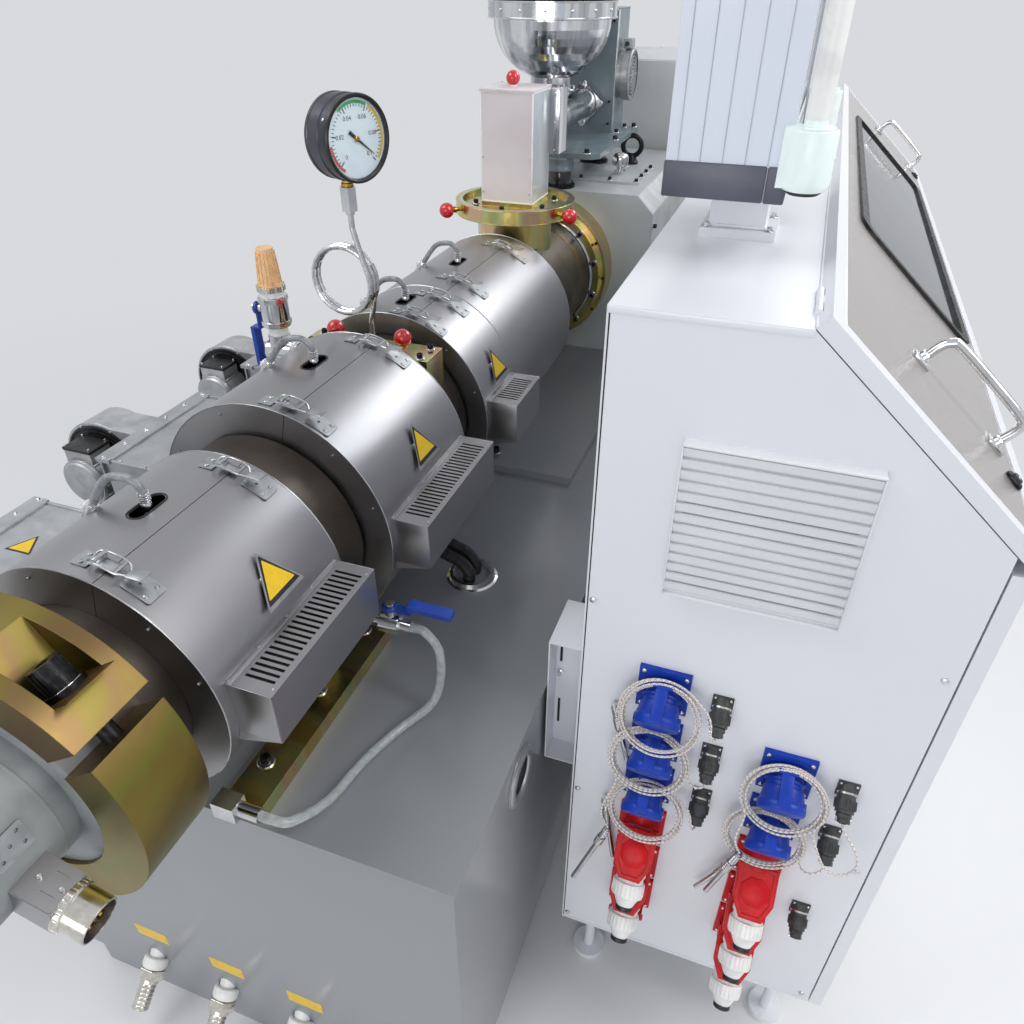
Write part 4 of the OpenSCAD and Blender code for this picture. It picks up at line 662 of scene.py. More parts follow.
def make_leads(sizes):
    """The five braided thermocouple leads: out of the plug, round the hung coil and into the probe."""
    # The turns wander this far round the middle of their bundle, and its two ends stand off it
    bundle, stand_off, turns = 5.0, 8.0, sizes.lead_turns
    for i, (column, row, *_) in enumerate(COILS):
        start, end = JOIN_AT[i]
        sweep = 360 * turns + (end - start) % 360 - 360
        count = int(16 * sweep / 360)
        ring = []
        for k in range(count + 1):
            along = k / count
            spin = radians(720 * along * (turns - 1) / turns + 90)
            ease = min(1.0, along * 8, (1 - along) * 8)
            ring.append(on_coil(i, start + sweep * along,
                                COIL_R + stand_off - (stand_off - bundle * cos(spin)) * ease,
                                bundle * sin(spin) * ease))
        route = laid(smooth([gland(column, row), gland(column, row, 64), *PLUG_WAYS[i], *ring,
                             *PROBE_WAYS[i], PROBE_TOPS[i]], 6), 6.0, 4)
        lead = Shape(f"thermocouple_lead_{i + 1}", "braided_lead")
        lead.swept(route, sizes.lead / 2, "braid", 8)
        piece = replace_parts(lead.done(), "lead_coils", "lead_tails")


def any_ray(tree, *kinds):
    """A value that is 1 for rays of any of these kinds, and 0 for the others."""
    rays = add_node(tree, "ShaderNodeLightPath")
    value = rays.outputs[kinds[0]]
    for kind in kinds[1:]:
        value = add_node(tree, "ShaderNodeMath", {0: value, 1: rays.outputs[kind]},
                         operation="MAXIMUM").outputs[0]
    return value


def make_stage(colours):
    """The pale floor, the lamps and the camera of the photograph."""
    scene = bpy.context.scene
    scene.view_settings.view_transform = "Standard"
    # Poured studio floor: pale, matt, with a hardly visible cloudiness
    tree, shader = finish("floor", "poured_studio_floor", shades(colours.floor, 0.985, 1.0, 1.015), 2600,
                          (0.5, 0.6), 4.0, 0.01)
    # Further out the floor shows the backdrop's own tone to the camera and in reflections, so no edge is seen
    place = add_node(tree, "ShaderNodeTexCoord").outputs["Object"]
    way = add_node(tree, "ShaderNodeVectorMath", {0: place}, operation="LENGTH")
    far = add_node(tree, "ShaderNodeMapRange",
                   {"Value": way.outputs["Value"], "From Min": 1.2, "From Max": 5.5},
                   interpolation_type="SMOOTHSTEP")
    seen = any_ray(tree, "Is Camera Ray", "Is Glossy Ray")
    shown = add_node(tree, "ShaderNodeMath", {0: far.outputs["Result"], 1: seen}, operation="MULTIPLY")
    tone = add_node(tree, "ShaderNodeEmission", {"Color": [*linear(BACKDROP), 1], "Strength": 1.0})
    mixed = add_node(tree, "ShaderNodeMixShader",
                     {0: shown.outputs[0], 1: shader.outputs[0], 2: tone.outputs[0]})
    tree.links.new(mixed.outputs[0],
                   next(n for n in tree.nodes if n.type == "OUTPUT_MATERIAL").inputs["Surface"])
    half, cells = 60.0, 8
    row = cells + 1
    mesh = bpy.data.meshes.new("studio_floor")
    mesh.from_pydata([(half * (2 * x / cells - 1), half * (2 * y / cells - 1), 0) for y in range(row)
                      for x in range(row)], [],
                     [(r * row + c, r * row + c + 1, (r + 1) * row + c + 1, (r + 1) * row + c)
                      for r in range(cells) for c in range(cells)])
    floor = bpy.data.objects.new("studio_floor", mesh)
    mesh.materials.append(FINISHES["floor"])
    scene.collection.objects.link(floor)

    world = bpy.data.worlds.new("studio")
    scene.world = world
    world.use_nodes = True
    tree = world.node_tree
    tree.nodes.clear()
    shown = any_ray(tree, "Is Camera Ray", "Is Glossy Ray", "Is Transmission Ray")
    light = add_node(tree, "ShaderNodeBackground", {"Color": [*linear(SKY), 1], "Strength": SKY_LIGHT})
    shows = add_node(tree, "ShaderNodeBackground", {"Color": [*linear(BACKDROP), 1], "Strength": 1.0})
    mixed = add_node(tree, "ShaderNodeMixShader", {0: shown, 1: light.outputs[0], 2: shows.outputs[0]})
    add_node(tree, "ShaderNodeOutputWorld", {"Surface": mixed.outputs[0]})

    middle = Vector((0.1, 0.9, 1.0))
    for name, place, wide, high, watts, tint in (
            ("lamp_over_left", (-2.6, -0.4, 5.2), 3.4, 2.6, 105, "FFFFFF"),
            ("lamp_over_right", (3.9, 0.6, 4.4), 2.2, 3.6, 130, "FFFDF9"),
            ("lamp_behind_right", (2.4, 4.9, 4.3), 3.0, 1.8, 110, "F8FBFF"),
            ("lamp_front_low", (0.4, -4.4, 2.2), 3.4, 1.8, 76, "FFFFFF")):
        lamp = bpy.data.lights.new(name, "AREA")
        lamp.shape, lamp.size, lamp.size_y, lamp.energy = "RECTANGLE", wide, high, watts
        lamp.color = linear(tint)
        holder = bpy.data.objects.new(name, lamp)
        holder.matrix_world = facing(place, Vector(place) - middle)
        scene.collection.objects.link(holder)

    lens = bpy.data.cameras.new("photo_camera")
    lens.lens, lens.sensor_width, lens.clip_end = 27.17, 36.0, 400.0
    camera = bpy.data.objects.new("photo_camera", lens)
    # Solved from the photograph's vanishing lines: where it stood, and how it was aimed and tilted
    aim = turn(19.653, "Z") @ turn(55.219, "X") @ turn(0.142, "Z")
    camera.matrix_world = moved(0.785, -0.560, 2.004) @ aim
    scene.collection.objects.link(camera)
    scene.camera = camera


def dress_nodes():
    """Gives every CAD node that stays its real material."""
    dress("base_paint", "base_frame", "deck_plate")
    dress("zinc", "barrel_rails", "vent_block", "feed_throat", "gearbox_flange")
    dress("zinc_gold", "clamp_upper", "clamp_lower")
    dress("barrel_steel", "barrel")
    dress("shroud_steel", *(f"zone_{zone}_shroud" for zone in ZONES), "side_vents", "heater_connector")
    dress("duct_steel", "air_ducts")
    dress("blower_silver", "cooling_blowers", "feeder_motor")
    dress("black_oxide", "clamp_bolts")
    dress("drum_enamel", "die_adapter")
    dress("bright_steel", "gauge_pipe", "vacuum_valve", "drain_valve", "lead_probes")
    dress("hopper_steel", "feeder_screw", "feeder_hopper")
    dress("gauge_case", "vacuum_gauge")
    dress("blue_vinyl", "vacuum_valve_lever", "drain_valve_lever")
    dress("chute_film", "feed_chute")
    dress("gearbox_paint", "gearbox", "motor_cover")
    dress("slate", "feeder_stand")
    dress("cabinet_white", "cabinet_body", "cabinet_door", "console_lid", "hmi_pillar", "cable_duct_box")
    dress("profile_white", "hmi_box")
    dress("louver_grey", "cabinet_louver")
    dress("socket_blue", "blue_sockets")
    dress("socket_red", "red_sockets")
    dress("white_abs", "white_plugs", "water_fittings")
    dress("plug_grey", "plug_connectors")
    dress("mint", "hmi_handle")


def make_base_fittings(sizes):
    """Cap screws of the zinc rails, the deck's joints and collar, and the round stub on the base's side."""
    rails = Shape("rail_screws", "bright_steel")
    rail_mid, rail_top = 117, DECK + 30
    for side in (-1, 1):
        for y in (82, 251, 422, 1020, 1180):
            rails.screw(facing((side * rail_mid, y, rail_top)), sizes.cap_screw, "black_oxide",
                        "bright_steel")
    rails.done()
    stub = Shape("base_side_stub", "bright_steel")
    at = facing((SIDE, 297, 778), TO_RIGHT)
    stub.turned([(38, 0.2), (60, 0.2), (60, 5.0), (57, 8.0), (52, 9.0), (44, 8.6), (40, 6.6), (38, 3.0)],
                "duct_steel", at, 56)
    stub.turned([(0, 0.6), (38, 0.6), (38.5, 0.3)], "shadow_gap", at, 56)
    stub.turned([(60, 0.1), (62.5, 0.4), (61, 3.0), (60, 3.2)], "base_paint", at, 56)
    stub.done()
    joints = Shape("deck_joints", "machine_paint")
    for x0, x1 in ((-SIDE + 2, -346), (346, SIDE - 2)):
        joints.block((x0, 1812, DECK - 0.5), (x1, 1826, DECK + 0.6), "shadow_gap", 0)
    rim = DECK - 3
    joints.swept([(SIDE + 4, FRONT - 3, rim), (SIDE + 4, 3550, rim)], 1.6, "base_paint", 8)
    joints.swept([(-SIDE, FRONT - 4, rim), (SIDE, FRONT - 4, rim)], 1.6, "base_paint", 8)
    for y in (900, 1800, 2700):
        joints.block((SIDE - 0.3, y - 1.2, 60), (SIDE + 0.3, y + 1.2, DECK - 10), "shadow_gap", 0)
    joints.done()
    ring = Shape("conduit_collar_ring", "bright_steel")
    ring.turned([(43, 0), (58, 0), (58, 1.5), (52, 4), (50, 14.4), (43, 14.4), (43, 0)], "bright_steel",
                facing((COLLAR_X, COLLAR_Y, DECK)), 40)
    ring.done()


# Radius, near end and far end of each zone's shroud
ZONES = {1: (200, -44, 268), 2: (231, 374, 710), 3: (224, 846, 1034), 4: (224, 1034, 1494)}
# Turned heads, as (radius, height) profiles
STRIP_RIVET = [(0, 0), (3.4, 0), (3.2, 1.6), (1.6, 2.8), (0, 2.9)]
SHEET_RIVET = [(0, 0), (2.6, 0), (2.2, 1.2), (0, 1.9)]
PAN_HEAD = [(0, 0), (4.4, 0), (4.0, 1.6), (2.2, 2.6), (0, 2.8)]
DOME_HEAD = [(0, 0), (6, 0), (5.4, 2.4), (3, 3.8), (0, 4.2)]


def toggle_latch(shape, y, r, size):
    """One sprung latch over a shroud's seam: keeper, bolt plate with its holes, wire bows and lever."""
    shape.plate(rounded(46, size + 4, 4), 1.2, "latch_steel", on_shroud(62, y, r + 0.6),
                [circle(2.6, 10, x, side) for x, side in ((12, -10), (12, 10), (-6, 0))])
    shape.plate(rounded(26, size - 2, 3), 1.4, "latch_steel", on_shroud(87, y, r + 0.6),
                [circle(2.2, 10, 2, -8), circle(2.2, 10, 2, 8)])
    for side in (-1, 1):
        shape.turned(STRIP_RIVET, "latch_steel", on_shroud(87, y + side * 8, r + 2.0), 12)
        shape.turned(STRIP_RIVET, "latch_steel", on_shroud(58.6, y + side * 10, r + 1.4), 12)
    at = on_shroud(77, y, r + 5)
    shape.block((-16, -9, 0), (14, 9, 3), "latch_steel", 1.0, at)
    shape.block((-14, -11, 2), (-8, 11, 12), "latch_steel", 1.5, at)
    shape.block((8, -10, 1), (34, 10, 3), "latch_steel", 1.0, on_shroud(70, y, r + 8) @ turn(-17.189, "Y"))
    for side in (-1, 1):
        bow = ((-24, 5, 1), (-20, 12.5, 5), (0, 13, 9), (22, 12.5, 7), (32, 5, 2))
        shape.swept(smooth([at @ Vector((x, side * out, z)) for x, out, z in bow], 4), 1.7, "latch_steel",
                    8)
    for x, half, z in ((20, 13, 6), (-11, 14, 8)):
        shape.swept([at @ Vector((x, -half, z)), at @ Vector((x, half, z))], 2.4, "latch_steel", 10)


def make_shroud_fittings(sizes):
    """Latches, end rings and seams of the shrouds, the triangle plates and the thermocouple elbows."""
    for zone, latches in ((1, (-12, 237)), (2, (398, 680)), (3, (866, 986)), (4, (1110, 1400))):
        r, y0, y1 = ZONES[zone]
        trim = Shape(f"zone_{zone}_latches", "stainless_sheet")
        for y in latches:
            toggle_latch(trim, y, r, sizes.latch)
        for y in (y0 + 0.5, y1 - 0.5):
            trim.swept([on_shroud(a, y, r).translation for a in range(-40, 221, 5)], 1.2, "latch_steel", 6)
        for y, way in ((y0, TO_FRONT), (y1, TO_BACK)):
            for a in (20, 50, 110, 150):
                place = on_shroud(a, y, r - 16).translation
                trim.screw(facing(place, way), 1.8, "shroud_steel")
        trim.done()
    for zone, y, angle in ((1, 131, 32.5), (2, 551, 27.7), (3, 950, 26)):
        sign = Shape(f"zone_{zone}_triangle_plate", "stainless_sheet")
        tall, half = sizes.triangle * sqrt(3) / 2, sizes.triangle / 2
        at = on_shroud(angle, y, ZONES[zone][0] + 4.5)
        for grown, finish_key, z, thick in ((1.16, "latch_steel", 0, 1.0), (1.0, "plate_black", 1.0, 0.3),
                                            (0.82, "plate_yellow", 1.25, 0.25)):
            shift, base = -tall / 6 * (grown - 1), tall / 2 * (1.5 * grown - 0.5)
            points = [(shift - tall / 2 * grown, 0), (shift + base, half * grown),
                      (shift + base, -half * grown)]
            outline = []
            for before, here, after in zip((points[2], *points), points, (*points[1:], points[0])):
                outline += [tuple(Vector(here).lerp(Vector(to), part))
                            for to, part in ((before, 0.07), (before, 0.02), (after, 0.02), (after, 0.07))]
            sign.plate(outline, thick, finish_key, at @ moved(0, 0, z))
        for side in (-1, 1):
            sign.block((-tall * 0.1, side * half * 0.4 - 5, -4.5),
                       (tall * 0.12, side * half * 0.4 + 5, 0.4), "latch_steel", 0.8, at)
        sign.done()
    for zone, y in ((1, 112), (2, 560), (3, 936), (4, 1230)):
        rim = Shape(f"zone_{zone}_probe", "bright_steel")
        slot_r = ZONES[zone][0]
        top = AXIS + slot_r
        outline = rounded(26, 64, 12.9)
        rim.plate([(x * 1.16, s * 1.07) for x, s in outline], 1.6, "black_rubber",
                  facing((0, y, top - 0.8), UP), [outline])
        bends = ((0, 0, -60), (0, 0, -10), (0, 0, 22), (-8, -1, 38), (-26, -3, 44), (-58, -6, 34),
                 (-92, -10, 8 - 92 ** 2 / (2 * slot_r)))
        elbow = smooth([(x, y + along, top + up) for x, along, up in bends], 5)
        rim.swept(elbow, sizes.elbow, "sleeve_grey", 14)
        rim.turned([(0, 0), (8, 0), (8, 14), (7, 16), (0, 16)], "bright_steel", facing((0, y, top - 6), UP),
                   20)
        for i in range(4):
            rim.turned([(6.2, 0), (8.4, 0.6), (8.4, 2.4), (6.2, 3)], "bright_steel",
                       facing((0, y, top + 8 + 4 * i), UP), 18)
        way = (elbow[-1] - elbow[-3]).normalized()
        at = facing(elbow[-1] - way * 4, way)
        rim.turned([(0, 0), (8, 0), (9.5, 4), (9.5, 20), (8.5, 23), (8.5, 34), (6, 38), (0, 38)],
                   "bright_steel", at, 18)
        rim.block((-7, 7, 6), (7, 12, 18), "white_abs", 1.0, at)
        for side in (-1, 1):
            rim.screw(at @ moved(side * 4, 11, 12) @ turn(-90, "X"), 1.8, "bright_steel")
        rim.done()


def make_vent_trim(sizes):
    """Flanges, rivets and slot rims of the side vents, and strips, screws and plates of the air ducts."""
    trim = Shape("vent_trim", "stainless_sheet")
    rise, pitch = 50, 70
    for r, y0, y1 in ((200, -24, 254), (231, 386, 694), (224, 858, 1014)):
        x0, top = sqrt(r * r - rise * rise), AXIS + rise
        trim.block((x0 - 5, y0, top), (x0 + 10, y1, top + 1.2), "shroud_steel", 0.5)
        for y in (y0, y1):
            trim.block((x0 - 4, y - 1.2, AXIS - 40), (x0 + 71, y + 1.2, top + 0.6), "shroud_steel", 0.5)
        count = int((y1 - y0) / pitch) + 1
        for k in range(count + 1):
            y = y0 + 5 + (y1 - y0 - 10) * k / count
            trim.turned(SHEET_RIVET, "latch_steel", facing((x0 + 4, y, top + 1.4)), 12)
        for y in (y0 + 14, y1 - 14):
            trim.turned(SHEET_RIVET, "latch_steel", facing((x0 + 66, y, top)), 12)
    trim.done()
    ducts = Shape("duct_trim", "duct_sheet")
    top, pitch = 1225, 60
    for n, (y0, y1, inner) in enumerate(((-4, 238, -193), (394, 690, -225), (860, 1020, -218))):
        ducts.block((-386, y0 + 2, top - 0.2), (-383, y1 - 2, top + 4), "duct_steel", 0.4)
        for y in (y0 - 4, y1 - 2):
            ducts.block((-384, y, top - 0.4), (inner, y + 6, top + 3), "duct_steel", 0.5)
        count = int((y1 - y0) / pitch) + 1
        for k in range(count + 1):
            y = y0 + (y1 - y0) * k / count
            ducts.screw(facing((-402, y, top + 4)), 3.2, "bright_steel", "bright_steel", 6)
        for x in (-360, -300, -240):
            ducts.screw(facing((x, y0 - 1, top + 3)), 2.6, "bright_steel", None, 6)
        at = facing((-318 + 8 * n, (y0 + y1) / 2 + 10, top), UP) @ turn(-28.648, "Z")
        for grown, finish_key, up in ((1.0, "plate_black", 0.2), (0.8, "plate_yellow", 0.5)):
            ducts.plate(circle(0.4 * sizes.triangle * grown, 3), 0.35, finish_key, at @ moved(0, 0, up))
    ducts.done()
    blowers = Shape("blower_trim", "blower_paint")
    wheel_x, wheel_z = -530, 1120
    for y in (112, 542, 980):
        at = facing((wheel_x, y - 40, wheel_z), TO_FRONT)
        for r in (98, 88, 78, 68):
            blowers.turned([(r - 1.6, 0), (r + 1.6, 0), (r + 1.6, 2.4), (r - 1.6, 2.4), (r - 1.6, 0)],
                           "black_rubber", at, 40)
        blowers.turned([(53, 0), (100, 0), (100, 1.0), (53, 1.0)], "black_oxide", at, 40)
        for x, up in circle(101, 8, first=22.5):
            blowers.screw(at @ moved(x, up, 0), 2.6, "bright_steel", None, 6)
        blowers.fins(14, (48, -1.5, 6), (57.5, 1.5, 62), "blower_silver", 0.4, at)
        blowers.turned([(0, 70), (44, 70), (50, 66), (53, 60), (53, 66), (46, 74), (0, 75)],
                       "blower_silver", at, 32)
        blowers.block((wheel_x - 36, y - 104, 1190), (wheel_x + 36, y - 46, 1197.5), "black_rubber", 2.0)
        for dx in (-30, 30):
            for dy in (-52, -98):
                blowers.screw(facing((wheel_x + dx, y + dy, 1197.5)), 2.4, "bright_steel")
        blowers.turned([(103.6, 2), (105.8, 3), (105.8, 6), (103.6, 7)], "blower_silver",
                       facing((wheel_x, y - 40, wheel_z), TO_BACK), 48)
    blowers.done()


def make_die_fittings():
    """The clamp's milled pocket and washers, and the heater's box with its hinge and plug."""
    tilt = moved(0, 0, AXIS) @ turn(-34, "Y")
    clamp = Shape("clamp_pocket_faces", "zinc_plate")
    for side in (-1, 1):
        clamp.block((side * 190 - 43.5, -197.6, 62.0), (side * 190 + 43.5, -129.4, 62.8), "milled", 0, tilt)
        bolt = tilt @ moved(side * 178, -163.5, 70)
        clamp.turned([(21, 0), (24.6, 0), (24.6, 0.8), (21, 1.0)], "bright_steel", bolt, 32)
        clamp.fins(24, (19.4, -0.9, 1), (20.5, 0.9, 30), "black_oxide", 0.2, bolt)
    clamp.done()
    box = Shape("heater_box_fittings", "bright_steel")
    box_y, box_tilt = -290, 18
    at = moved(0, box_y, AXIS) @ turn(box_tilt, "Y")
    top = at @ moved(140, 0, 26)
    box.plate(rounded(50, 50, 4), 1.4, "shroud_steel", top,
              [rounded(20, 5, 2.4, 8, -12), rounded(20, 5, 2.4, 8, 12), circle(2.4, 10, -12, 0)])
    for x in (-12, 18):
        box.screw(top @ moved(x, 0, 1.4), 3.0, "bright_steel")
    box.plate(rounded(34, 46, 3), 1.6, "latch_steel", on_shroud(box_tilt, box_y, 114.6),
              [circle(2.6, 10, x, y) for x, y in ((-9, -14), (9, -14), (-9, 14), (9, 14), (0, 0))])
    plug = at @ moved(164, 0, 0) @ turn(90, "Y")
    box.turned([(27, 0), (30, 1), (30, 9), (28, 11), (27.2, 11), (27.2, 41.6), (26.2, 42.6), (24.8, 42.6),
                (24.2, 24), (24.2, 12), (0, 12)], "nickel", plug, 48)
    box.fins(24, (29.4, -1.4, 2), (30.8, 1.4, 9), "nickel", 0.3, plug)
    for x, up in circle(12, 4, first=45):
        box.turned([(0, 12), (3.2, 12), (3.2, 33), (2.2, 36), (0, 36.5)], "brass", plug @ moved(x, up, 0),
                   14)
    box.turned([(0, 12.2), (24.2, 12.2), (24.2, 15.6), (0, 16)], "brass", plug, 40)
    box.done()
    face = Shape("die_face_marks", "heater_band")
    for y in (-352, -236):
        face.turned([(114.0, 0), (115.0, 0.6), (115.0, 3.4), (114.0, 4)], "drum_enamel",
                    facing((0, y, AXIS), TO_FRONT), 64)
    face.done()


def ball_knob(shape, ball, way, r, stem):
    """A red ball on a brass stem with its collar, its stem running back along way."""
    way = Vector(way).normalized()
    shape.ball(facing(ball, way), r, "knob_red", 28)
    back, collar = facing(Vector(ball) - way * (stem + r - 2), way), stem * 0.5
    shape.turned([(0, 0), (5.5, 0), (5.5, collar), (8.5, collar + 1), (8.5, collar + 7), (6, collar + 8),
                  (6, stem + 3), (0, stem + 3)], "brass", back, 18)


# Top of the vent block, foot of the vacuum valve, and middle of the gauge with its turn to the front
PORT = (0, 765, 1374)
VALVE = (-222, 765, 1329)
GAUGE, GAUGE_TURN = (4, 737, 1772), -20


def make_vent_fittings(sizes):
    """Knobs and screws of the vent block, the valve's collar, tape and cap, and the gauge's face."""
    port = Shape("vent_block_fittings", "zinc_plate")
    for side in (-1, 1):
        ball_knob(port, (side * 77, 763, 1401), UP, sizes.knob * 0.88, 6)
        for y in (740, 790):
            port.screw(facing((side * 124, y, PORT[2])), 6.0, "black_oxide", "bright_steel")
        port.block((side * 40 - 12, 752, PORT[2]), (side * 40 + 12, 778, PORT[2] + 5), "latch_steel", 1.5)
    port.turned([(9, 0), (16, 0), (16, 9), (13, 11), (9, 11)], "bright_steel", facing(PORT), 6)
    port.done()
    valve = Shape("vacuum_valve_fittings", "bright_steel")
    at = facing(VALVE)
    for low in (61, 112):
        valve.turned([(29.4, low), (31.5, low + 1), (31.5, low + 11), (29.6, low + 12)], "bright_steel", at,
                     8)
    valve.turned([(0, 137), (31, 137), (31, 147), (0, 147)], "zinc", at, 6)
    valve.turned([(25.2, 124), (26.4, 125), (26.4, 136), (25.2, 136.8)], "thread_tape", at, 32)
    valve.turned([(19.2, 40), (20.6, 41), (20.6, 58), (19.2, 60)], "thread_tape", at, 32)
    valve.turned([(0, 146.4), (24.5, 146.4), (24.5, 151), (23.4, 152), (18, 219), (16.6, 222.4),
                  (15, 223.4), (0, 223.4)], "cap_orange", at, 40)
    for foot, tip in zip(circle(24.0, 16), circle(18.6, 16)):
        valve.swept([at @ Vector((*foot, 150)), at @ Vector((*tip, 216))], 1.0, "cap_orange", 6)
    for x in (-192, -250, -168):
        valve.turned([(17.2, 0), (24, 0), (24, 11), (17.2, 11)], "bright_steel",
                     facing((x, *VALVE[1:]), TO_RIGHT), 6)
    valve.turned([(17.2, 0), (18.6, 0.6), (18.6, 12), (17.2, 13)], "thread_tape",
                 facing((-206, *VALVE[1:]), TO_RIGHT), 28)
    valve.done()
    gauge = Shape("gauge_face", "bright_steel")
    face = facing(GAUGE, turn(GAUGE_TURN, "Z") @ Vector(TO_RIGHT))
    on = face @ moved(0, 0, 38.2)
    gauge.plate(circle(63.6, 64), 0.8, "dial", on)
    for a0, a1, finish_key in ((62, 128, "dial_green"), (-38, 58, "plate_yellow"), (186, 236, "dial_red")):
        angles = [radians(a0 + (a1 - a0) * k / 20) for k in range(21)]
        arc = [(60 * cos(a), 60 * sin(a)) for a in angles] + [(55 * cos(a), 55 * sin(a))
                                                              for a in angles[::-1]]
        gauge.plate(arc, 0.3, finish_key, on @ moved(0, 0, 0.8))
    # The scale runs clockwise from its lowest to its highest mark, eight marks to each number
    scale_from, scale_sweep, numbers, marks = 225, 270, ("0", "0.02", "0.04", "0.06", "0.08", "0.1"), 8
    steps = marks * (len(numbers) - 1)
    for k in range(steps + 1):
        long, half = (4, 0.6) if k % marks else (8, 1.0)
        gauge.block((54 - long, -half, 0.8), (54.6, half, 1.2), "plate_black", 0,
                    on @ turn(scale_from - scale_sweep * k / steps, "Z"))
    for k, words in enumerate(numbers):
        a = radians(scale_from - scale_sweep * k / (len(numbers) - 1))
        letters = bpy.data.curves.new("number", "FONT")
        letters.body, letters.size, letters.align_x, letters.align_y = words, 10.5, "CENTER", "CENTER"
        letters.extrude, letters.resolution_u = 0.1, 2
        holder = bpy.data.objects.new("number", letters)
        mesh = bpy.data.meshes.new_from_object(holder)
        gauge.add([tuple(v.co) for v in mesh.vertices], [tuple(p.vertices) for p in mesh.polygons],
                  "plate_black", on @ moved(37 * cos(a), 37 * sin(a), 1.0))
        bpy.data.objects.remove(holder)
        bpy.data.curves.remove(letters)
        bpy.data.meshes.remove(mesh)
    pointer = on @ turn(-38, "Z")
    gauge.plate([(-20, -3.4), (0, -2.4), (sizes.needle, -0.5), (sizes.needle, 0.5), (0, 2.4), (-20, 3.4)],
                0.5, "plate_black", pointer @ moved(0, 0, 2.0))
    gauge.turned([(0, 1), (5, 1), (5, 3.4), (3.5, 4.4), (0, 4.6)], "brass", on, 24)
    gauge.turned([(63.8, 36), (69.2, 36), (71, 38), (71, 44.4), (69.6, 46), (66.6, 46), (64, 43.6),
                  (63.8, 38)], "plate_black", face, 72)
    gauge.turned([(0, 43.2), (65, 43.2), (65, 44), (0, 44)], "glass", face, 64)
    gauge.turned([(69, 8), (70.6, 9.4), (70.6, 20), (69, 21.4)], "gauge_case", face, 72)
    gauge.turned([(69, -14.4), (70.2, -13), (70.2, -8), (69, -6.6)], "gauge_case", face, 72)
    for angle in (30, 150, 270):
        gauge.turned([(0, 0), (3, 0), (2.6, 1.4), (0, 2)], "bright_steel",
                     face @ turn(angle, "Z") @ moved(69.2, 0, 30) @ turn(90, "Y"), 12)
    gauge.done()
    stem = Shape("gauge_stem", "bright_steel")
    gauge_x, gauge_y, gauge_z = GAUGE
    stem.turned([(9, 0), (11.4, 0.6), (11.4, 6), (9.4, 7), (9.4, 13.4), (9, 13.4)], "brass",
                facing((gauge_x, gauge_y, gauge_z - 82)), 24)
    stem.turned([(5.4, 0), (9.5, 1), (9.5, 7), (5.4, 8)], "bright_steel",
                facing((gauge_x, gauge_y, gauge_z - 131.5)), 6)
    stem.turned([(5.4, 0), (12, 0), (12, 10), (10, 12), (5.4, 12)], "bright_steel",
                facing((PORT[0] + 8, *PORT[1:])), 6)
    stem.done()


# Middle of the feed flange's top
FEED = Vector((-7, 1680, 1472))


